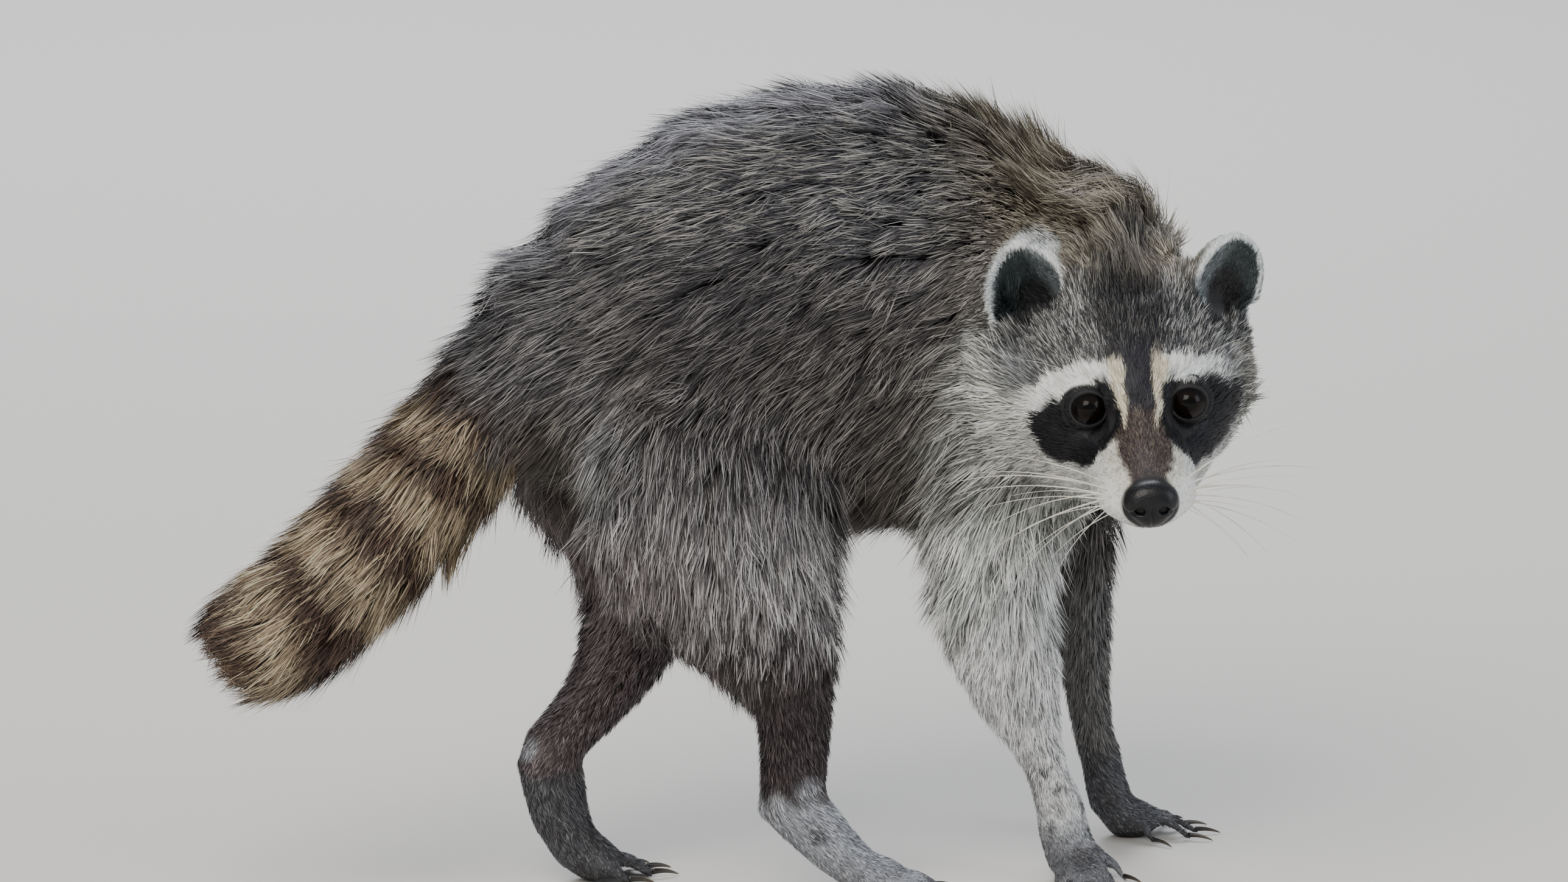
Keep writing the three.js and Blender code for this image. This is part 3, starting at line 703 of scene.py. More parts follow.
def pelage(world, part):
    """Three tones at each point. part gives each body part's share there, by name."""
    x, y, z = world.T
    mottle = wander(world, 0.030, 11)
    round_body = np.arctan2(np.abs(y - trunk_mid_y), z - TRUNK_AXIS_Z) / math.pi  # 0 spine, 1 belly
    round_body = round_body + 0.03 * mottle
    coat = lay(FLANK, BELLY, ramp(round_body, 0.70, 0.84))
    coat = lay(coat, BACK, ramp(round_body, 0.46, 0.24))
    coat = lay(coat, RUMP, ramp(x, -0.045, -0.085) * ramp(round_body, 0.8, 0.6))
    coat = lay(coat, SPINE, ramp(round_body, 0.13, 0.05))
    saddle = blob((x + 0.022) / 0.045, (z - 0.245) / 0.034)
    coat = lay(coat, FLANK_DARK, 0.85 * saddle * ramp(round_body, 0.12, 0.26))
    coat = lay(coat, SHOULDER, ramp(x, 0.055, 0.095) * ramp(round_body, 0.75, 0.6))
    coat = lay(coat, NAPE, ramp(x, 0.070, 0.110) * ramp(round_body, 0.42, 0.25))

    coat = lay(coat, lay(NAPE, THROAT, ramp(z, 0.235, 0.200)), part["neck"])

    hind = x < FRONT_LEGS_X
    height = z + 0.006 * mottle
    thigh = lay(THIGH, THIGH_LOW, ramp(height, 0.180, 0.125))
    # painted sunlight: a pale patch high on the rear of each thigh
    thigh = lay(thigh, THIGH_PAINTED_SUNLIGHT, ramp(x, -0.055, -0.078) * ramp(z, 0.150, 0.175) * 0.9)
    # Painted shade on the left legs' inner sides only: there the front leg and the feet take darker, shaded
    # copies of their tones, and the hind leg takes the far stocking tone.
    left_leg_y = np.where(hind, np.interp(z, *HIND_LEFT_RUN), np.interp(z, *FRONT_LEFT_RUN))
    outside = ramp(y - left_leg_y, 0.001, 0.010)
    near_side = np.maximum(ramp(y, 0.075, 0.055), outside)
    near_foot = np.maximum(ramp(y, LEFT_LEGS_Y, 0.035), outside)
    thigh = lay(thigh, STOCKING_FAR, 0.7 * ramp(x, -0.018, -0.045) * ramp(z, 0.165, 0.135))
    thigh = lay(thigh, STOCKING_FAR, 0.85 * (1 - near_side))
    thigh = lay(thigh, STOCKING, 0.95 * ramp(height, 0.126, 0.098) * near_side)
    arm = lay(SHOULDER, THROAT, ramp(height, 0.200, 0.180))
    arm = lay(arm, ARM, ramp(height, 0.168, 0.148))
    # painted shade: the left front leg's inner side, here and on the forearm below
    arm = lay(arm, ARM_PAINTED_SHADE, 1 - near_foot * ~hind)
    coat = lay(coat, np.where(hind[:, None, None], thigh, arm), part["upper"])
    shank = lay(STOCKING, STOCKING_FAR, 0.9 * (1 - near_foot))
    forearm = lay(FOREARM, ARM_PAINTED_SHADE, 0.9 * (1 - near_foot))
    coat = lay(coat, np.where(hind[:, None, None], shank, forearm), part["lower"])
    wrist = ~hind * near_side * ramp(z, 0.012, 0.030)
    foot = lay(FOOT, FOREARM, 0.9 * wrist)
    # painted shade: the left feet's inner sides
    foot = lay(foot, FOOT_PAINTED_SHADE, 0.9 * (1 - near_foot))
    foot = lay(foot, STOCKING_FAR, hind * (1 - near_foot) * ramp(z, 0.042, 0.050))
    foot = lay(foot, FINGER, np.where(hind, 0.30, 0.75) * ramp(z, 0.024, 0.010))
    foot = lay(foot, STOCKING, 0.35 * ramp(wander(world, 0.016, 17), 0.45, 0.85))
    coat = lay(coat, foot, part["foot"])
    on_leg = np.clip(part["foot"] + part["lower"], 0, 1)
    flecks = ramp(wander(world, 0.0065, 19), 0.50, 0.72) * ramp(z, 0.075, 0.045)
    coat = lay(coat, FINGER, 0.6 * flecks * on_leg * near_foot * ~hind)
    for spot_x, spot_y, spot_z, radius, shade in LEG_SPOTS:
        gap = np.linalg.norm(world - [spot_x, spot_y, spot_z], axis=1)
        coat = lay(coat, shade, 0.75 * ramp(gap, 1.7 * radius, 0.5 * radius) * on_leg)

    run, _, _ = along(world, tail_line)
    run = run + 0.0022 * wander(world, 0.010, 21)
    tail = lay(TAIL_DARK, RUMP, ramp(run, 0.050, 0.020))
    for middle, half in TAIL_RINGS:
        tail = lay(tail, TAIL_LIGHT, 0.92 * ramp(np.abs(run - middle), half + 0.004, half - 0.001))
    tail = lay(tail, TAIL_DARK, ramp(run, TAIL_TIP - 0.003, TAIL_TIP + 0.003))
    coat = lay(coat, tail, part["tail"])

    local = in_head(world)
    coat = lay(coat, face_tones(local, world), part["head"])
    return ear_tones(coat, local)


# ---------------------------------------------------------------- the coat
# Guard hairs over wool, in thin pointed locks that lie along the body the way a raccoon's coat
# does: back from the nose, down the flanks and legs, out along the tail. Each lock is a narrow
# curved blade rooted in the skin, leaning with its neighbours towards the middle of its tuft.

surface = Surface(hide)
skin_points = surface.points
skin_normals = unit(surface.smooth(surface.normals, 3))
region_name = region_of(skin_points)
head_points = in_head(skin_points)
hx, hy, hz = head_points.T
off_ear = (hx < -70) | (np.abs(hy) < 14) | (hz < 6)
part = {name: share_of(starts) for name, starts in SOLIDS.items()}
part["neck"] += part["ear"] * off_ear
part["ear"] = part["ear"] * ~off_ear
sharp_part = {name: share.copy() for name, share in part.items()}
JOIN_ROUNDS = 12  # of smoothing, where the coats of two parts run into each other
for name in part:
    part[name] = surface.smooth(part[name], 3 if name in ("ear", "foot") else JOIN_ROUNDS)

# The way the hairs lie.
x, y, z = skin_points.T
round_body = np.abs(np.arctan2(np.abs(y - trunk_mid_y), z - TRUNK_AXIS_Z)) / math.pi
MUZZLE_START = np.array([60.0, 0.0, -20.0])  # the hairs of the face all lead away from here
face_lie = unit(head_points - MUZZLE_START)
face_lie[:, 2] -= 0.45 * ramp(np.abs(hy), 30, 52) * ramp(hz, 12, -6)
face_lie[:, 0] -= 0.35
lie = {
    "trunk": np.stack([-np.ones_like(x), 0 * x, -(0.08 + 1.0 * round_body)], 1),
    "neck": np.stack([-0.55 + 0 * x, 0.25 + 0 * x, -0.45 + 0 * x], 1),
    "tail": along(skin_points, tail_line)[2],
    "head": face_lie @ head_axes,
    "ear": np.stack([0 * x - 0.1, 0.25 * np.sign(hy), 1 + 0 * x], 1) @ head_axes,
}
leg_lie = np.zeros_like(skin_points)
leg_run = np.zeros(surface.count)
for (end, side), line in LIMBS.items():
    here = share_of([f"{end}_leg_{side}", f"{end}_foot_{side}"]) > 0
    run, _, heading = along(skin_points[here], line)
    lean_back = 0.35 * ramp(skin_points[here][:, 2], 0.05, 0.12)
    leg_lie[here] = heading - np.outer(lean_back, [1, 0, 0])
    leg_run[here] = run / leg_joints(line)[1]  # 0 at the shoulder or hip, 1 at the wrist
for name in ("upper", "lower", "foot"):
    lie[name] = leg_lie
flow = sum(unit(lie[name]) * sharp_part[name][:, None] for name in SOLIDS)
FLOW_ROUNDS = int(60 * FINENESS)
hold_flow = 0.5 * (1 - 0.9 * np.clip(part["ear"] + part["foot"] + 0.7 * part["head"], 0, 1))
flow = surface.smooth(flow, FLOW_ROUNDS, hold_flow)
flow = unit(flow - skin_normals * (flow * skin_normals).sum(1, keepdims=True))

# Length and width of the locks in millimetres, and how many there are on a square millimetre.
# Their depth is the room left for them between the skin and the outline of the solids.
ruff = ramp(np.abs(hy), 36, 50) * ramp(hz, 38, 18) * ramp(hx, -4, -22)
face_length = np.interp(hx, HEAD_STATIONS, [20, 17, 13.5, 10, 7.5, 5.5, 4.6, 3.2]) + 11 * ruff
cup = in_cup(head_points) * (part["head"] + part["ear"] + part["neck"])
face_length *= 1 - 0.7 * cup
FINE = [3, 8, 20]  # lengths between which the locks of the face grow broader and sparser
face_width = np.interp(face_length, FINE, [0.26, 0.38, 0.58])
face_density = np.interp(face_length, FINE, [6.6, 4.6, 2.0])
lock = {
    "trunk": (26, 0.52, 1.75),
    "neck": (26, 0.52, 1.85),
    "tail": (25, 0.54, 2.1),
    "head": (face_length, face_width, face_density),
    "ear": (3.2 - 0.6 * cup, 0.26, 6.5),
    "upper": (np.interp(leg_run, [0, 0.3, 0.55], [26, 23, 17]), 0.50, 1.75),
    "lower": (
        np.interp(leg_run, [0.45, 0.75, 1], [15, 8.5, 4.5]),
        np.interp(leg_run, [0.45, 1], [0.55, 0.34]),
        np.interp(leg_run, [0.45, 1], [2.0, 3.6]),
    ),
    "foot": (np.interp(z, [0.008, 0.03, 0.06], [2.2, 3.8, 5.5]), 0.27, 3.3),
}
room = np.array([outline.find_nearest(p)[3] for p in skin_points]) / MM - SWELL / MM
RUFF_STAND = 13.0  # millimetres that the ruff stands out beyond the rest of the cheek's coat
LEFT_RUFF = 0.45  # the left ruff, on the outside of the neck's bend, stands this much further
NAPE_STAND = 5.0
ruff_stand = RUFF_STAND * ruff * (1 + LEFT_RUFF * (hy > 0)) * np.clip(part["head"], 0, 1)
deep = np.clip(surface.smooth(room, 4), 0.4, 15) + ruff_stand
on_nape = ramp(x, 0.065, 0.095) * ramp(z, 0.243, 0.265) * np.clip(part["trunk"] + part["neck"], 0, 1)
deep += NAPE_STAND * on_nape


def planned(number):
    """One of the three figures above at each point of the skin, run smoothly from part to part."""
    figure = sum(np.broadcast_to(lock[name][number], surface.count) * part[name] for name in SOLIDS)
    return figure / np.maximum(sum(part.values()), 1e-3)


length, width, density = (planned(i) for i in range(3))
ear_foot = by_ear_foot(head_points)
length = mix(length, np.minimum(length, 8.0), ear_foot)
density *= 1 + 0.8 * ear_foot
forward, across, up = by_ear(head_points)
ear_out = round_ear(head_points)
ahead = np.interp(across, [-6, 6], [9, 17])
on_rim = ramp(ear_out, 0.80, 0.88) * ramp(ear_out, 1.28, 1.14) * ramp(forward, ahead + 3, ahead)
on_rim = on_rim * ramp(up, -16, -10) * ramp(forward, -12, -8)
length, width, density = mix(length, 3.0, on_rim), mix(width, 0.26, on_rim), mix(density, 7.5, on_rim)
bare = ramp(z, 0.0045, 0.0015) * ramp(-skin_normals[:, 2], 0.2, 0.6)  # the soles, lids and nose
for side in (1, -1):
    _, _, reach, angle, past = round_eye(head_points, side)
    bare = np.maximum(bare, ramp(past, 3.0, 1.0) * ramp(reach, 15, 11) * (angle < 100))
    density *= 1 + 0.7 * ramp(past, 40, 20) * ramp(reach, 17, 13)
    length *= 1 - 0.35 * ramp(past, 26, 4) * ramp(reach, 15, 12)
nose_gap = np.linalg.norm((skin_points - np.array(nose_centre)) / MM, axis=1)
bare = np.maximum(bare, ramp(nose_gap, 12.5, 11.0) * ramp(hx, 46, 50))
length *= 1 - 0.35 * ramp(nose_gap, 22, 13)
density *= 1 - bare
on_foot = np.clip(part["foot"] + part["lower"] * ramp(z, 0.065, 0.045), 0, 1)
deep = np.maximum(deep, 0.36 * length * on_foot)  # the short hair of the feet stands clear of the skin

# How sharply the skin turns away along the lie, so that the locks can follow it round.
edges = read(hide.edges, "vertices", 2, int)
near, far = np.concatenate([edges, edges[:, ::-1]]).T
step = ((skin_points[far] - skin_points[near]) * flow[near]).sum(1)
turn = ((skin_normals[far] - skin_normals[near]) * flow[near]).sum(1)
bend = np.bincount(near, step * turn, surface.count)
bend = bend / np.maximum(np.bincount(near, step * step, surface.count), 1e-12)
bend = np.clip(surface.smooth(np.clip(bend, -60, 150), 10), -12, 90)  # per metre

# Roots scattered over the skin by the locks' density.
COAT_SHARE = 1.0
hide.calc_loop_triangles()
tri = read(hide.loop_triangles, "vertices", 3, int)
a, b, c = skin_points[tri].transpose(1, 0, 2)
tri_area = np.linalg.norm(np.cross(b - a, c - a), axis=1) / 2 / MM**2
wanted = tri_area * density[tri].mean(1) * COAT_SHARE
dice = np.random.default_rng(41)
count = np.floor(wanted + dice.random(len(wanted))).astype(int)
root_tri = np.repeat(np.arange(len(tri)), count)
u, v = scatter(dice, len(root_tri))
share = np.concatenate([1 - u - v, u, v], 1)


def at_root(values):
    corners = values[tri[root_tri]]
    return np.einsum("nk,nk...->n...", share, corners)


root = at_root(skin_points)
root_normal = unit(at_root(skin_normals))
root_flow = at_root(flow)
root_flow = unit(root_flow - root_normal * (root_flow * root_normal).sum(1, keepdims=True))
root_length, root_deep, root_width, root_bend = (at_root(v) for v in (length, deep, width, bend))
locks = len(root)

# Tufts: the locks round each chosen root share a turn, a lean and a tone, and gather to its tip.
tuft_gap = np.clip(root_length * 0.21, 1.2, 5.5)
per_tuft = np.maximum(at_root(density), 0.05) * COAT_SHARE * tuft_gap**2
centres = np.flatnonzero(dice.random(locks) < 1 / per_tuft)
nearest_centre = finder(root[centres])
tuft = np.array([nearest_centre.find(p)[1] for p in root])
tuft_turn = dice.normal(0, 0.15, len(centres))[tuft]
tuft_stretch = dice.uniform(0.86, 1.14, len(centres))[tuft]
tuft_gather = dice.uniform(0.08, 0.52, len(centres))[tuft]
tuft_tone = dice.normal(0, 1, len(centres))[tuft]

# Some guard hairs stand alone: longer, finer, paler and lifted clear of the rest.
LENGTH_SPREAD = (0.64, 1.14)  # the shortest and the longest lock of a place, by its length there
LONE_SHARE = 0.07
lone = (dice.random(locks) < LONE_SHARE) & (root_length > 8)
root_width = root_width * np.where(lone, 0.62, 1.0)
turned = dice.normal(0, 0.13, locks) + tuft_turn + lone * dice.normal(0, 0.22, locks)
blade_length = root_length * dice.uniform(*LENGTH_SPREAD, locks) * tuft_stretch
blade_length = blade_length * np.where(lone, 1.12, 1.0) * MM
side_way = np.cross(root_normal, root_flow)
way = root_flow * np.cos(turned)[:, None] + side_way * np.sin(turned)[:, None]
fluff = 1 + 0.28 * ramp(root_length, 12, 20)  # the long coat stands its full depth
mean_lift = np.arcsin(np.clip(root_deep / root_length * fluff * dice.uniform(0.7, 1.08, locks), 0.03, 0.85))
lift_root, lift_tip = mean_lift * 1.7, mean_lift * np.where(lone, 0.7, 0.25)

# The middle line of each lock, integrated in short steps from root to tip.
LINE_STEPS = 6
line = [root - root_normal * (0.35 * MM)]
heading = []
place = line[0].copy()
for k in range(LINE_STEPS):
    t = (k + 0.5) / LINE_STEPS
    lift = lift_root * (1 - t) ** 1.3 + lift_tip * (1 - (1 - t) ** 1.3) - root_bend * blade_length * t
    step_way = way * np.cos(lift)[:, None] + root_normal * np.sin(lift)[:, None]
    heading.append(step_way)
    place = place + step_way * (blade_length / LINE_STEPS)[:, None]
    line.append(place.copy())
line = np.array(line)
PROUD = np.array([6.0, 5.5, 5.0]) * MM  # how far a lock's end may stand beyond the solids' own box
low_limit, high_limit = np.array(cad_low) - PROUD, np.array(cad_high) + PROUD
low_limit[2] = 0.5 * MM  # and none goes through the floor
line = np.clip(line, low_limit, high_limit)
own_reach = line[-1] - line[0]
tuft_reach = own_reach[centres][tuft]
stretch = np.linalg.norm(own_reach, axis=1) / np.maximum(np.linalg.norm(tuft_reach, axis=1), 1e-6)
gathered = root[centres][tuft] + tuft_reach * stretch[:, None]
pull = (gathered - line[-1]) * tuft_gather[:, None]
pull *= np.minimum(1, 0.35 * blade_length / np.maximum(np.linalg.norm(pull, axis=1), 1e-9))[:, None]


def line_at(t):
    """Where each lock's middle line is at a share of its length, and its heading there."""
    f = t * LINE_STEPS
    k = min(int(f), LINE_STEPS - 1)
    return line[k] + (line[k + 1] - line[k]) * (f - k) + pull * t**1.7, unit(heading[k])


# The markings show on the locks' outer ends, so each takes its tones from where that end lies.
on_tail = at_root(part["tail"])[:, None]
shown = root + (line[-1] - line[0]) * (0.6 + 0.3 * np.clip(on_tail, 0, 1))

# A flat map of the skin, on which every lock's own map lies where the lock is rooted.
skin_object = put("skin", hide)
bpy.context.view_layer.objects.active = skin_object
skin_object.select_set(True)
hide.uv_layers.new(name="OFBake")
bpy.ops.object.mode_set(mode="EDIT")
bpy.ops.mesh.select_all(action="SELECT")
bpy.ops.uv.smart_project(angle_limit=math.radians(66), island_margin=0.002)
bpy.ops.object.mode_set(mode="OBJECT")
skin_object.select_set(False)
hide.calc_loop_triangles()
loop_uv = read(hide.uv_layers["OFBake"].data, "uv", 2)
tri_loops = read(hide.loop_triangles, "loops", 3, int)
root_uv = np.einsum("nk,nkc->nc", share, loop_uv[tri_loops[root_tri]])
PATCH = 0.003  # how wide each lock's own patch is on the map, whose width is 1

# Neighbouring locks differ a little in where they take their tone: no marking has a ruled edge.
STRAY = np.interp(root_length, [3, 8, 24], [0.25, 0.7, 3.2]) * MM
strayed = shown + dice.normal(0, 1, (locks, 3)) * STRAY[:, None]
share_at = {name: at_root(values) for name, values in part.items()}
at_part = {name: np.clip(values, 0, 1) for name, values in share_at.items()}
root_x, root_y, root_z = root.T
strayed[:, 2] += dice.normal(0, 8, locks) * MM * at_part["upper"] * ramp(root_z, 0.17, 0.13)
tone = pelage(strayed, share_at)
kind = dice.random(locks)
PALE_TIPS, DARK_TIPS = 0.32, 0.25
is_dark, is_pale = kind > 1 - DARK_TIPS, kind < PALE_TIPS
DARKER, PALER = 0.62, 1.12  # the dark and the pale locks' whole tone, at full length
head_x, head_y, head_z = in_head(root).T
front_leg, right_leg = root_x > FRONT_LEGS_X, root_y < LEFT_LEGS_Y
on_nape = np.clip(at_part["neck"] + at_part["trunk"] * ramp(root_x, 0.055, 0.095), 0, 1)
CONTRAST = (  # how strongly locks differ from their neighbours in each place
    (at_part["head"], 0.3),
    (at_part["head"] * ramp(head_x, 6, 14), 0.75),  # muzzle
    (on_nape * ramp(root_z, 0.215, 0.240), 0.45),
    (at_part["neck"] * ramp(root_z, 0.240, 0.215), 1.6),  # throat
    (at_part["head"] * np.maximum(ramp(head_z, 15, 21), ramp(head_x, -14, -30)), 1.5),  # crown, cheeks
    (at_part["upper"] * ~front_leg * right_leg * ramp(root_z, 0.19, 0.14), 1.5),  # thigh
    ((at_part["upper"] + at_part["lower"]) * front_leg * right_leg, 1.55),
    (at_part["foot"], 1.1),
)
vary = 0.3 + 0.7 * ramp(root_length, 4, 12)  # single locks
tuft_vary = np.full(locks, 0.12)  # whole tufts
for share_here, strength in CONTRAST:
    vary = mix(vary, strength, np.clip(share_here, 0, 1))
    tuft_vary = mix(tuft_vary, 0.10 + 0.24 * max(strength - 0.6, 0), np.clip(share_here, 0, 1))
glow = np.exp(tuft_vary * tuft_tone + dice.normal(0, 0.18, locks))[:, None, None]
tone = np.clip(tone * glow, 0, 1)
own_shade = np.where(is_dark, DARKER, np.where(is_pale, PALER, 1.0))
tone = np.clip(tone * (1 + (own_shade - 1) * vary)[:, None, None], 0, 1)
dark_tip = 0.55 * tone[:, 0] + 0.45 * tone[:, 1]
tip_tone = np.where(is_dark[:, None], dark_tip, tone[:, 1])
tip_tone = np.where((is_pale | lone)[:, None], tone[:, 2], tip_tone)
twist = dice.normal(0, 0.38, locks)

# Where each row of a blade lies from root to tip, how wide it is there, and how far its tone has
# turned from the shadowed root to the body of the hair and on to its end.
LONG_ROWS = ((0.0, 0.85, 0.0, 0.0), (0.55, 1.0, 1.0, 0.12))
SHORT_ROWS = ((0.0, 0.80, 0.45, 0.0), (0.5, 1.0, 1.0, 0.35))
LONG_FROM = 9.0  # the length in millimetres past which a lock takes the long rows
NORMAL_FROM_SKIN = 0.6  # how far a lock is shaded as the skin under it faces


def add(tree, kind, settings=None, links=None):
    """Adds a node to a tree, sets its values and links its inputs.

    Stops are a colour ramp's places and hex colours; a new ramp has two, and the rest are added."""
    node = tree.nodes.new(kind)
    for name, value in (settings or {}).items():
        if name == "stops":
            elements = node.color_ramp.elements
            while len(elements) < len(value):
                elements.new(0.5)
            for element, (where, colour) in zip(elements, value):
                element.position, element.color = where, linear(colour)
        elif isinstance(name, int) or name in node.inputs:
            node.inputs[name].default_value = value
        else:
            setattr(node, name, value)
    for name, source in (links or {}).items():
        tree.links.new(source, node.inputs[name])
    return node


def start_finish(name, settings):
    """A new material, its node tree and its shader, with the settings on the shader's own sockets."""
    material = bpy.data.materials.new(name)
    material.use_nodes = True
    shader = material.node_tree.nodes["Principled BSDF"]
    for socket, value in settings.items():
        shader.inputs[socket].default_value = value
    return material, material.node_tree, shader


# Hair has a soft sheen along it and none of plastic's gloss; each lock darkens towards its root.
fur, tree, shader = start_finish("raccoon guard hair", {"Roughness": 0.52, "Specular IOR Level": 0.35})
pelage_colour = add(tree, "ShaderNodeAttribute", {"attribute_name": "pelage"})
tree.links.new(pelage_colour.outputs["Color"], shader.inputs["Base Color"])


def paint_pelage(mesh, colours):
    """Stores a tone for each point of a mesh, which its material reads."""
    solid = np.concatenate([np.clip(colours, 0, 1), np.ones((len(colours), 1))], 1)
    mesh.color_attributes.new("pelage", "FLOAT_COLOR", "POINT").data.foreach_set("color", solid.ravel())


def blades(chosen, rows):
    """Points, tones, normals, map places and triangles of the chosen locks, a few rows each."""
    points, colours, normals, places = [], [], [], []
    for t, broad, to_body, to_tip in rows + ((1.0, 0.0, 1.0, 1.0),):
        centre, ahead = line_at(t)
        centre, ahead = centre[chosen], ahead[chosen]
        if t < 1:
            flat = unit(np.cross(root_normal[chosen], ahead))
            rise = np.cross(ahead, flat)
            across = flat * np.cos(twist[chosen])[:, None] + rise * np.sin(twist[chosen])[:, None]
        half = across * (root_width[chosen] * broad * 0.5 * MM)[:, None]
        body = tone[chosen, 0] * (1 - to_body) + tone[chosen, 1] * to_body
        colour = body * (1 - to_tip) + tip_tone[chosen] * to_tip
        facing = np.cross(ahead, across)
        facing = unit(NORMAL_FROM_SKIN * root_normal[chosen] + (1 - NORMAL_FROM_SKIN) * facing)
        for way_out in (-1, 1) if t < 1 else (0,):  # two points to a row, and one at the tip
            points.append(centre + way_out * half)
            colours.append(colour)
            normals.append(facing)
            places.append(root_uv[chosen] + [way_out * PATCH / 2, (t - 0.5) * PATCH])
    per = len(points)
    pattern = []
    for a in range(0, per - 3, 2):
        pattern += [(a, a + 2, a + 3), (a, a + 3, a + 1)]
    pattern.append((per - 3, per - 1, per - 2))
    faces = np.arange(len(chosen))[:, None, None] * per + np.array(pattern)[None]
    kinds = points, colours, normals, places
    return *(np.stack(each, 1).reshape(len(chosen) * per, -1) for each in kinds), faces.reshape(-1, 3)


def coat_piece(name, chosen):
    """One piece of the coat from the locks numbered in chosen."""
    is_long = root_length[chosen] > LONG_FROM
    sorts = (chosen[is_long], LONG_ROWS), (chosen[~is_long], SHORT_ROWS)
    groups = [blades(locks_of, rows) for locks_of, rows in sorts if len(locks_of)]
    points, colours, normals, places, _ = (np.concatenate(stack) for stack in zip(*groups))
    offsets = np.cumsum([0] + [len(group[0]) for group in groups])
    faces = np.concatenate([group[4] + offset for group, offset in zip(groups, offsets)])
    mesh = bpy.data.meshes.new(name)
    mesh.vertices.add(len(points))
    mesh.vertices.foreach_set("co", points.ravel())
    mesh.loops.add(len(faces) * 3)
    mesh.loops.foreach_set("vertex_index", faces.ravel())
    mesh.polygons.add(len(faces))
    mesh.polygons.foreach_set("loop_start", np.arange(len(faces)) * 3)
    mesh.update(calc_edges=True)
    mesh.shade_smooth()
    uv_map = mesh.uv_layers.new(name="OFBake")
    uv_map.data.foreach_set("uv", np.clip(places, 0, 1)[faces.ravel()].ravel())
    paint_pelage(mesh, colours)
    mesh.normals_split_custom_set_from_vertices(normals)
    mesh.materials.append(fur)
    piece = put(name, mesh)
    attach(piece, "root")


part_names = list(SOLIDS)
root_part = np.array(part_names)[np.argmax([at_root(sharp_part[name]) for name in part_names], 0)]
on_trunk, on_head = root_part == "trunk", root_part == "head"
on_leg = np.isin(root_part, ("upper", "lower"))
left_side = np.where(on_head, head_y > 0, root_y > trunk_mid_y)
CHEST_X = 0.03  # the chest's coat begins ahead of here
FACE_X = -16  # and the face's ahead of here, in the head's frame
chest, face = root_x > CHEST_X, head_x > FACE_X
COAT_PIECES = {
    "coat_rump_left": on_trunk & left_side & ~chest,
    "coat_rump_right": on_trunk & ~left_side & ~chest,
    "coat_chest_left": on_trunk & left_side & chest,
    "coat_chest_right": on_trunk & ~left_side & chest,
    "coat_neck": root_part == "neck",
    "coat_face_left": on_head & left_side & face,
    "coat_face_right": on_head & ~left_side & face,
    "coat_crown_left": on_head & left_side & ~face,
    "coat_crown_right": on_head & ~left_side & ~face,
    "coat_ears": root_part == "ear",
    "coat_tail": root_part == "tail",
    "coat_front_legs": on_leg & front_leg,
    "coat_hind_leg_left": on_leg & ~front_leg & (root_y > LEFT_LEGS_Y),
    "coat_hind_leg_right": on_leg & ~front_leg & (root_y <= LEFT_LEGS_Y),
    "coat_feet": root_part == "foot",
}
for name, chosen in COAT_PIECES.items():
    coat_piece(name, np.flatnonzero(chosen))

# The skin's own look: the wool at the locks' roots, and bare leather on the soles and lids.
LEATHER = np.array(linear("#121013")[:3])
skin_tone = pelage(skin_points, part)
under_coat = 0.65 * skin_tone[:, 0] + 0.15 * skin_tone[:, 1]  # in the shade of a long coat
skin_colour = mix(mix(skin_tone[:, 1], under_coat, ramp(length, 5, 13)), LEATHER, bare)
paint_pelage(hide, skin_colour)
# Matt, with the broken grain of a nap, so that no skin shines between the locks.
nap_finish, tree, shader = start_finish("short fur over hide", {"Roughness": 0.62})
own_colour = add(tree, "ShaderNodeAttribute", {"attribute_name": "pelage"})
place = add(tree, "ShaderNodeTexCoord")
NAP = {"Scale": 1600.0, "Detail": 3.0}  # 0.6 mm across
nap = add(tree, "ShaderNodeTexNoise", NAP, {"Vector": place.outputs["Object"]})
bump = add(tree, "ShaderNodeBump", {"Strength": 0.35, "Distance": 0.4 * MM}, {"Height": nap.outputs["Fac"]})
tree.links.new(own_colour.outputs["Color"], shader.inputs["Base Color"])
tree.links.new(bump.outputs["Normal"], shader.inputs["Normal"])
hide.materials.append(nap_finish)
hide.shade_smooth()
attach(skin_object, "root")
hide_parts(*FLESH)

# ---------------------------------------------------------------- the eyes
# Two round glass-clear eyes of 16 mm behind the lids: a near-black brown iris of fine radial
# fibres round a black pupil, under a wet cornea that stands a little proud of the ball.

PUPIL, IRIS, CORNEA = 15.0, 41.0, 46.0  # degrees from the gaze to the edge of each
CORNEA_RISE = 0.75
EYE_RINGS, EYE_SEGMENTS = 56, 72


def turn_outwards(mesh):
    """Faces a closed mesh outwards and shades it smooth."""
    work = bmesh.new()
    work.from_mesh(mesh)
    bmesh.ops.recalc_face_normals(work, faces=work.faces)
    work.to_mesh(mesh)
    work.free()
    mesh.shade_smooth()


def closed_shell(name, rings):
    """A closed mesh from rings of points, first and last rings drawn to a single point each."""
    count, around = len(rings), len(rings[0])
    inner = np.concatenate(rings[1:-1])
    points = np.concatenate([rings[0][:1], inner, rings[-1][:1]])
    turn = (np.arange(around) + 1) % around
    faces = [(0, 1 + int(turn[i]), 1 + i) for i in range(around)]
    for r in range(count - 3):
        a = 1 + r * around
        b = a + around
        faces += [(a + i, a + int(turn[i]), b + int(turn[i]), b + i) for i in range(around)]
    a, last = 1 + (count - 3) * around, len(points) - 1
    faces += [(a + i, a + int(turn[i]), last) for i in range(around)]
    mesh = bpy.data.meshes.new(name)
    mesh.from_pydata(points, [], faces)
    turn_outwards(mesh)
    return put(name, mesh)


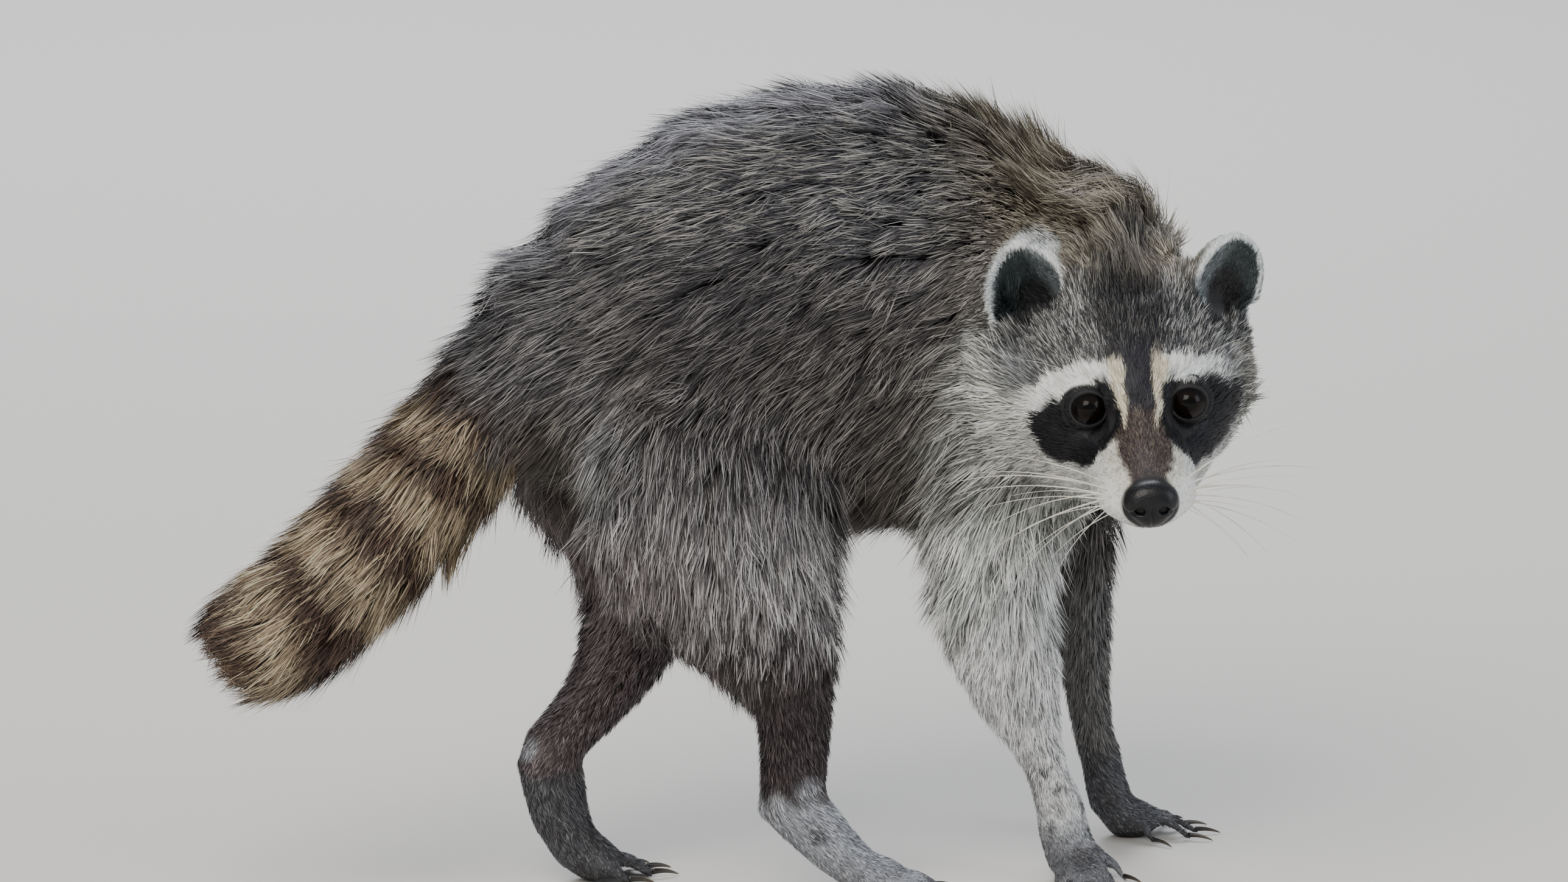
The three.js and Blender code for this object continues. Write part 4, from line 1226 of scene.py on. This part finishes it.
# A near-black brown iris deep in the ball, under a wet surface that mirrors the lamps.
wet_eye, tree, shader = start_finish("wet cornea over brown iris", {
    "Roughness": 0.22, "IOR": 1.376, "Specular IOR Level": 0.1,
    "Coat Weight": 0.22, "Coat Roughness": 0.02})
iris_place = add(tree, "ShaderNodeAttribute", {"attribute_name": "iris_place"})
from_pupil = add(tree, "ShaderNodeVectorMath", {"operation": "LENGTH"}, {0: iris_place.outputs["Vector"]})
IRIS_SPAN = 60  # degrees from the gaze over which the colours are laid
pupil_edge, iris_edge = PUPIL / IRIS_SPAN, IRIS / IRIS_SPAN
BANDS = {"stops": (
    (pupil_edge - 0.02, "#020202"), (pupil_edge + 0.02, "#0d0806"), (0.45, "#120b08"),
    (iris_edge - 0.04, "#090605"), (iris_edge + 0.03, "#050404"), (0.85, "#14100f"),
)}
bands = add(tree, "ShaderNodeValToRGB", BANDS, {"Fac": from_pupil.outputs["Value"]})
radial = add(tree, "ShaderNodeVectorMath", {"operation": "NORMALIZE"}, {0: iris_place.outputs["Vector"]})
FIBRES = {"Scale": 9.0, "Detail": 4.0}  # round the pupil, not across the ball
fibres = add(tree, "ShaderNodeTexNoise", FIBRES, {"Vector": radial.outputs["Vector"]})
FIBRE_TONE = {"From Min": 0.35, "From Max": 0.7, "To Min": 0.7, "To Max": 1.6}
fibre_tone = add(tree, "ShaderNodeMapRange", FIBRE_TONE, {"Value": fibres.outputs["Fac"]})
fibred = add(tree, "ShaderNodeVectorMath", {"operation": "SCALE"},
             {0: bands.outputs["Color"], "Scale": fibre_tone.outputs["Result"]})
tree.links.new(fibred.outputs["Vector"], shader.inputs["Base Color"])

for side, node in ((1, "eye_left"), (-1, "eye_right")):
    centre, gaze, temple, upward = eye_frame(side)
    rings, places = [], []
    turn = np.linspace(0, 2 * math.pi, EYE_SEGMENTS, endpoint=False)
    spoke = np.outer(np.cos(turn), temple) + np.outer(np.sin(turn), upward)
    for angle in np.linspace(0, 180, EYE_RINGS):
        out = math.radians(angle)
        way = math.cos(out) * gaze + math.sin(out) * spoke
        rings.append(from_head(centre + way * (EYE_RADIUS + CORNEA_RISE * ramp(angle, CORNEA, 12))))
        places.append(np.stack([np.cos(turn), np.sin(turn), 0 * turn], 1) * min(angle / IRIS_SPAN, 1.0))
    ball = closed_shell(f"eyeball_{node[4:]}", rings)
    iris = ball.data.attributes.new("iris_place", "FLOAT_VECTOR", "POINT")
    flat = np.concatenate([places[0][:1]] + places[1:-1] + [places[-1][:1]])
    iris.data.foreach_set("vector", flat.ravel())
    ball.data.materials.append(wet_eye)
    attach(ball, "root")
    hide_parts(node)

# ---------------------------------------------------------------- the nose
# Bare black leather over gristle, moist and finely cobbled, widest above its comma-shaped
# nostrils and parted below them by the groove that runs down to the lip.

NOSTRIL_ASIDE, NOSTRIL_UP = 4.7, -1.2  # from the nose's middle, millimetres
NOSTRIL_WIDE, NOSTRIL_TALL, NOSTRIL_DEEP = 1.7, 1.3, 3.6
NOSE_RINGS, NOSE_SEGMENTS = 120, 168

nose_points = in_head(points_of("nose"))
nose_middle = (nose_points.max(0) + nose_points.min(0)) / 2
nose_half = (nose_points.max(0) - nose_points.min(0)) / 2
SQUARENESS = 2.35  # 2 would make an ellipsoid
rings = []
turn = np.linspace(0, 2 * math.pi, NOSE_SEGMENTS, endpoint=False)
for out in np.linspace(0, math.pi, NOSE_RINGS):
    way = math.sin(out) * np.stack([0 * turn, np.cos(turn), np.sin(turn)], 1) + [math.cos(out), 0, 0]
    reach = (np.abs(way / nose_half) ** SQUARENESS).sum(1) ** (-1 / SQUARENESS)
    p = way * reach[:, None]
    px, py, pz = p.T
    aside = np.abs(py)
    py = py * (1 - 0.30 * ramp(pz, 1, -8) - 0.10 * ramp(pz, 4, 9))
    front = ramp(px, 0, 3)
    from_hole = aside - NOSTRIL_ASIDE
    hole = np.exp(-((from_hole / NOSTRIL_WIDE) ** 2 + ((pz - NOSTRIL_UP) / NOSTRIL_TALL) ** 2) ** 1.6)
    slit_z = NOSTRIL_UP - 0.4 - 0.16 * from_hole
    slit = blob((pz - slit_z) / 0.75) * ramp(from_hole, 0, 1.5) * ramp(px, -4, -1)
    wing = blob((aside - 6.6) / 2.2, (pz - 1.6) / 2.2)
    groove = blob(aside / 0.55) * ramp(pz, 1.2, -1.5) * ramp(px, -5, -1)
    dent = NOSTRIL_DEEP * hole * front + 1.5 * slit - 0.35 * wing * front + 0.5 * groove
    px = px - dent * front
    py = py - np.sign(py) * dent * (1 - front) * 0.8
    rings.append(from_head(np.stack([px, py, pz], 1) + nose_middle))
nose = closed_shell("nose_leather", rings)
# Black with a soft gloss that the cobbles break into many small glints.
nose_skin, tree, shader = start_finish("moist cobbled nose leather", {
    "Roughness": 0.40, "Specular IOR Level": 0.3, "Coat Weight": 0.16, "Coat Roughness": 0.22})
place = add(tree, "ShaderNodeTexCoord")
COBBLES = {"feature": "SMOOTH_F1", "Scale": 1 / (0.6 * MM), "Smoothness": 0.4}  # 0.6 mm across
CLOUDS = {"Scale": 420.0, "Detail": 3.0}  # 2.4 mm across
cobbles = add(tree, "ShaderNodeTexVoronoi", COBBLES, {"Vector": place.outputs["Object"]})
grain = add(tree, "ShaderNodeTexNoise", CLOUDS, {"Vector": place.outputs["Object"]})
raised = add(tree, "ShaderNodeBump", {"Strength": 0.5, "Distance": 0.22 * MM, "invert": True},
             {"Height": cobbles.outputs["Distance"]})
BLACKS = {"stops": ((0.35, "#050608"), (0.7, "#101216"))}
skin_tint = add(tree, "ShaderNodeValToRGB", BLACKS, {"Fac": grain.outputs["Fac"]})
tree.links.new(skin_tint.outputs["Color"], shader.inputs["Base Color"])
tree.links.new(raised.outputs["Normal"], shader.inputs["Normal"])
nose.data.materials.append(nose_skin)
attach(nose, "root")
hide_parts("nose")

# ---------------------------------------------------------------- the claws
# Five narrow curved claws on each foot, of dark horn paling to the worn tip, each growing out
# of the end of its finger and curving down to the ground.

CLAW_RINGS, CLAW_SIDES = 14, 14
CLAW_ROOT = 2.2  # how far a claw runs back into its finger, in millimetres
CLAW_ARCH = 1.15  # how high it stands and arches, over half the thickness of its solid's root
CLAW_FLOOR = 0.4  # the least height of its tip's middle over the floor
# Smooth and a little glossy along the ridge, cloudy brown-black paling towards the tip.
horn, tree, shader = start_finish("dark claw horn", {"Roughness": 0.32, "IOR": 1.55})
claw_run = add(tree, "ShaderNodeAttribute", {"attribute_name": "claw_run"})
place = add(tree, "ShaderNodeTexCoord")
GROWTH = {"Scale": 700.0, "Detail": 2.0}  # 1.4 mm across
WEAR = {"operation": "MULTIPLY_ADD", 1: 0.35, 2: -0.17}  # how unevenly it pales
growth = add(tree, "ShaderNodeTexNoise", GROWTH, {"Vector": place.outputs["Object"]})
worn = add(tree, "ShaderNodeMath", WEAR, {0: growth.outputs["Fac"]})
paling = add(tree, "ShaderNodeMath", {"operation": "ADD"},
             {0: claw_run.outputs["Fac"], 1: worn.outputs["Value"]})
HORN_TINTS = {"stops": ((0.15, "#1d1917"), (1.0, "#5d5347"))}
horn_tint = add(tree, "ShaderNodeValToRGB", HORN_TINTS, {"Fac": paling.outputs["Value"]})
tree.links.new(horn_tint.outputs["Color"], shader.inputs["Base Color"])


def claw_shape(own, heel):
    """One claw's points, ring by ring from its root in the finger to its tip, laid along its solid."""
    flat_way = (own.mean(0) - heel) * [1, 1, 0]
    spread = own[:, :2] - own[:, :2].mean(0)
    axis = np.linalg.svd(spread, full_matrices=False)[2][0]
    axis = axis * np.sign(axis @ flat_way[:2])
    run = own[:, :2] @ axis
    at_base = own[run < run.min() + 0.3 * MM]
    base, tip = at_base.mean(0), own[run > run.max() - 0.3 * MM].mean(0)
    thick = np.ptp(at_base[:, 2]) / 2
    ahead = np.array([axis[0], axis[1], 0.0])
    across = np.array([-axis[1], axis[0], 0.0])
    start = base - ahead * CLAW_ROOT * MM
    crest = base + (tip - base) * 0.45 + np.array([0, 0, CLAW_ARCH * thick])
    point = tip + np.array([0, 0, -0.4 * MM])
    point[2] = max(point[2], CLAW_FLOOR * MM)
    turn = np.linspace(0, 2 * math.pi, CLAW_SIDES, endpoint=False)
    ridge, flank = np.sin(turn), np.cos(turn)
    rings = []
    for t in (k / (CLAW_RINGS - 1) for k in range(CLAW_RINGS)):
        middle = start * (1 - t) ** 2 + crest * 2 * t * (1 - t) + point * t * t
        tangent = unit(2 * (1 - t) * (crest - start) + 2 * t * (point - crest))
        above = np.cross(tangent, across)
        above = above if above[2] > 0 else -above
        tall = thick * CLAW_ARCH * (1 - t) ** 0.62 + 0.05 * MM
        half_wide = 0.62 * tall * np.abs(flank) ** 0.8 * np.sign(flank)
        half_wide = half_wide * (1 - 0.25 * (ridge > 0) * ridge)
        rings.append(middle + np.outer(half_wide, across) + np.outer(tall * ridge, above))
    return np.concatenate(rings)


for (end, side), line in LIMBS.items():
    limb, heel = f"{end}_{side}", line[3]
    solids = [f"claw_{limb}_{number}" for number in range(1, 6)]
    stack = [claw_shape(points_of(solid), heel) for solid in solids]
    faces = []
    for first in range(0, len(solids) * CLAW_RINGS * CLAW_SIDES, CLAW_RINGS * CLAW_SIDES):
        for a in range(first, first + (CLAW_RINGS - 1) * CLAW_SIDES, CLAW_SIDES):
            b = a + CLAW_SIDES
            for i in range(CLAW_SIDES):
                j = (i + 1) % CLAW_SIDES
                faces.append((a + i, a + j, b + j, b + i))
        for end_ring in (first, first + (CLAW_RINGS - 1) * CLAW_SIDES):
            faces.append(tuple(end_ring + i for i in range(CLAW_SIDES)))
    runs = np.tile(np.repeat(np.linspace(0, 1, CLAW_RINGS), CLAW_SIDES), len(solids))
    mesh = bpy.data.meshes.new(f"claws_{limb}")
    mesh.from_pydata(np.concatenate(stack), [], faces)
    turn_outwards(mesh)
    mesh.attributes.new("claw_run", "FLOAT", "POINT").data.foreach_set("value", runs)
    mesh.materials.append(horn)
    claws = put(f"claws_{limb}", mesh)
    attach(claws, "root")
    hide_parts(*solids)

# ---------------------------------------------------------------- the whiskers
# Stiff pale whiskers in four rows on each pad of the muzzle and a few over each eye, each a
# tapering bristle rooted in the skin that sweeps out and back and sags a little to its tip.

# x and z of each root on the pad, its length in millimetres, and its heading: back, out, up
WHISKERS = (
    (33, -17.5, 58, (-0.62, 1.0, 0.34)), (38, -18.5, 50, (-0.45, 1.0, 0.30)),
    (43, -19.5, 38, (-0.20, 1.0, 0.22)), (29, -20.5, 66, (-0.72, 1.0, 0.10)),
    (34, -21.5, 62, (-0.55, 1.0, 0.06)), (39, -22.0, 50, (-0.35, 1.0, 0.02)),
    (44, -22.5, 34, (-0.10, 1.0, -0.04)), (28, -24.0, 60, (-0.70, 1.0, -0.22)),
    (33, -24.8, 60, (-0.52, 1.0, -0.30)), (38, -25.5, 48, (-0.30, 1.0, -0.40)),
    (43, -26.0, 30, (-0.05, 1.0, -0.50)), (31, -27.5, 50, (-0.50, 0.9, -0.62)),
    (36, -28.0, 42, (-0.30, 0.9, -0.80)),
)
# y and z of each root over the eye, with the same figures
BROW_WHISKERS = ((18, 11.5, 22, (0.25, 0.45, 0.9)), (22, 11.5, 26, (0.15, 0.85, 0.7)))

WHISKER_ROOT = 0.8  # how deep each is rooted, in millimetres
BRISTLE_PROUD = (5 * MM, 6 * MM)  # how far a tip may stand below and above the solids' own box
box_low, box_high = np.array(cad_low) - BRISTLE_PROUD[0], np.array(cad_high) + BRISTLE_PROUD[1]

bare_hide = hide_tree()
whisker_roots, whisker_ways, whisker_reach = [], [], []
dice = np.random.default_rng(77)
for side in (1, -1):
    starts = [((x, side * 1.0, z), (0, side, 0), length, heading) for x, z, length, heading in WHISKERS]
    starts += [((-20, side * y, z), (1, 0, 0), length, heading) for y, z, length, heading in BROW_WHISKERS]
    for inside, outwards, length, heading in starts:
        origin = from_head(np.array([inside], float))[0]
        hit = bare_hide.ray_cast(Vector(origin), Vector(np.array(outwards, float) @ head_axes))[0]
        if hit is None:  # a root that would lie beside the pad
            continue
        way = unit(np.array(heading) * [1, side, 1] + dice.normal(0, 0.05, 3)) @ head_axes
        reach = length * MM * dice.uniform(0.88, 1.1)
        for _ in range(30):  # shortened until its tip lies inside
            tip = np.array(hit) + way * reach
            if (tip > box_high).any() or (tip < box_low).any():
                reach *= 0.93
        whisker_roots.append(np.array(hit) - way * WHISKER_ROOT * MM)
        whisker_ways.append(way)
        whisker_reach.append(reach)

sockets = bpy.data.meshes.new("whisker sockets")
sockets.from_pydata(whisker_roots, [], [])
ways = sockets.attributes.new("heading", "FLOAT_VECTOR", "POINT")
ways.data.foreach_set("vector", np.array(whisker_ways).ravel())
sockets.attributes.new("reach", "FLOAT", "POINT").data.foreach_set("value", np.array(whisker_reach))
whiskers = put("whiskers", sockets)

# Stiff and faintly glossy, ivory in some stretches and white in others.
keratin, tree, shader = start_finish("pale whisker keratin", {"Roughness": 0.38, "IOR": 1.55})
place = add(tree, "ShaderNodeTexCoord")
STREAKS = {"Scale": 90.0, "Detail": 1.0}  # 11 mm along
streak = add(tree, "ShaderNodeTexNoise", STREAKS, {"Vector": place.outputs["Object"]})
IVORIES = {"stops": ((0.3, "#cdc8b9"), (0.7, "#fbf9f2"))}
hair_tint = add(tree, "ShaderNodeValToRGB", IVORIES, {"Fac": streak.outputs["Fac"]})
tree.links.new(hair_tint.outputs["Color"], shader.inputs["Base Color"])

bristles = bpy.data.node_groups.new("bristles", "GeometryNodeTree")
INPUTS = {"Sockets": "Geometry", "Thickness": "Float", "Sag": "Float", "Horn": "Material"}
for name, kind in INPUTS.items():
    bristles.interface.new_socket(name, in_out="INPUT", socket_type="NodeSocket" + kind)
bristles.interface.new_socket("Bristles", in_out="OUTPUT", socket_type="NodeSocketGeometry")
given = bristles.nodes.new("NodeGroupInput")
SHAFT = {"Resolution": 12, "Start": (0, 0, 0), "Middle": (0, 0, 0.55)}
shaft_end = add(bristles, "ShaderNodeCombineXYZ", {"Z": 1.0}, {"Y": given.outputs["Sag"]})
shaft = add(bristles, "GeometryNodeCurveQuadraticBezier", SHAFT, {"End": shaft_end.outputs["Vector"]})
run = add(bristles, "GeometryNodeSplineParameter")
TAPER = {"To Min": 1.0, "To Max": 0.12}
taper = add(bristles, "ShaderNodeMapRange", TAPER, {"Value": run.outputs["Factor"]})
radius = {"Curve": shaft.outputs["Curve"], "Radius": taper.outputs["Result"]}
tapered = add(bristles, "GeometryNodeSetCurveRadius", links=radius)
thickness = {"Radius": given.outputs["Thickness"]}
section = add(bristles, "GeometryNodeCurvePrimitiveCircle", {"Resolution": 6}, thickness)
bristle = add(bristles, "GeometryNodeCurveToMesh", {"Fill Caps": True},
              {"Curve": tapered.outputs["Curve"], "Profile Curve": section.outputs["Curve"],
               "Scale": taper.outputs["Result"]})
heading = add(bristles, "GeometryNodeInputNamedAttribute", {"data_type": "FLOAT_VECTOR", "Name": "heading"})
reach = add(bristles, "GeometryNodeInputNamedAttribute", {"data_type": "FLOAT", "Name": "reach"})
towards = {"Vector": heading.outputs["Attribute"]}
pointed = add(bristles, "FunctionNodeAlignRotationToVector", {"axis": "Z"}, towards)
DOWN = {"axis": "Y", "pivot_axis": "Z", "Vector": (0, 0, -1)}
drooped = add(bristles, "FunctionNodeAlignRotationToVector", DOWN,
              {"Rotation": pointed.outputs["Rotation"]})
placed = add(bristles, "GeometryNodeInstanceOnPoints",
             links={"Points": given.outputs["Sockets"], "Instance": bristle.outputs["Mesh"],
                    "Rotation": drooped.outputs["Rotation"], "Scale": reach.outputs["Attribute"]})
real = add(bristles, "GeometryNodeRealizeInstances", links={"Geometry": placed.outputs["Instances"]})
coloured = add(bristles, "GeometryNodeSetMaterial",
               links={"Geometry": real.outputs["Geometry"], "Material": given.outputs["Horn"]})
taken = bristles.nodes.new("NodeGroupOutput")
bristles.links.new(coloured.outputs["Geometry"], taken.inputs["Bristles"])
grow = whiskers.modifiers.new("bristles", "NODES")
grow.node_group = bristles
sizes = {"Thickness": 0.0062, "Sag": 0.22, "Horn": keratin}  # the first two as shares of a whisker's length
for item in bristles.interface.items_tree:
    if item.in_out == "INPUT" and item.name in sizes:
        grow[item.identifier] = sizes[item.name]
depsgraph = bpy.context.evaluated_depsgraph_get()
grown = bpy.data.meshes.new_from_object(whiskers.evaluated_get(depsgraph))
whiskers.modifiers.remove(grow)
whiskers.data = grown
grown.name = "whiskers"
grown.shade_smooth()
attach(whiskers, "root")

# ---------------------------------------------------------------- the studio
# A plain pale floor that the soles rest on, with broad soft lamps like an overcast sky: the
# largest high to the camera's left, a weaker one to its right, and one behind the animal that
# lights the coat's edge.

FLOOR_HALF = 6.0  # metres
mesh = bpy.data.meshes.new("floor")
corners = [(x * FLOOR_HALF, y * FLOOR_HALF, 0) for x, y in ((-1, -1), (1, -1), (1, 1), (-1, 1))]
mesh.from_pydata(corners, [], [(0, 1, 2, 3)])
# Flat and matt, so that nothing but the animal's own shadow shows on it.
floor_paint, tree, shader = start_finish("pale matt floor paint", {
    "Base Color": linear("#d9d6d0"), "Roughness": 0.85})
mesh.materials.append(floor_paint)
put("floor", mesh)

world = bpy.data.worlds.new("studio")
world.use_nodes = True
sky = world.node_tree.nodes["Background"]
sky.inputs["Color"].default_value = linear("#dfe3e8")
sky.inputs["Strength"].default_value = 0.55
bpy.context.scene.world = world

# name, watts, width, place and colour; each lamp faces the animal's chest
CHEST = Vector((0.05, 0, 0.18))
LAMPS = (
    ("key", 122, 2.4, (-1.9, -2.1, 2.7), "#fff8ee"),
    ("fill", 34, 2.0, (2.6, -2.0, 1.5), "#eef4ff"),
    ("rim", 85, 1.6, (0.6, 2.6, 2.4), "#f2f6ff"),
)
for name, watts, width, place, tint in LAMPS:
    lamp = bpy.data.lights.new(name, "AREA")
    lamp.energy = watts
    lamp.size = width
    lamp.color = linear(tint)[:3]
    holder = put(name, lamp)
    holder.location = place
    holder.rotation_euler = (CHEST - Vector(place)).to_track_quat("-Z", "Y").to_euler()

# The camera stands 4.5 m off, 13 degrees above the floor, looking 20 degrees past the animal's side.
CAMERA_AZIMUTH = math.radians(-20)
CAMERA_ELEVATION = math.radians(13)
CAMERA_DISTANCE = 4.5
SENSOR = 36.0  # its width, and the focal length, in millimetres
FOCAL_LENGTH = 260.986
STANDPOINT = Vector((0.08096, 0.04953, 0.0))  # the point on the floor that the distance is taken from
AIM_ASIDE, AIM_UP = -0.0120, 0.03746  # tangents that bring the animal into the middle of the frame
back = Vector((
    math.sin(CAMERA_AZIMUTH) * math.cos(CAMERA_ELEVATION),
    -math.cos(CAMERA_AZIMUTH) * math.cos(CAMERA_ELEVATION),
    math.sin(CAMERA_ELEVATION),
))
aside = Vector((math.cos(CAMERA_AZIMUTH), math.sin(CAMERA_AZIMUTH), 0.0))
lens_up = back.cross(aside)
camera = bpy.data.cameras.new("camera")
camera.sensor_width = SENSOR
camera.lens = FOCAL_LENGTH
camera.clip_end = 50
viewer = put("camera", camera)
viewer.location = STANDPOINT + CAMERA_DISTANCE * back
look = -back + AIM_ASIDE * aside + AIM_UP * lens_up
viewer.rotation_euler = look.to_track_quat("-Z", "Y").to_euler()
bpy.context.scene.camera = viewer
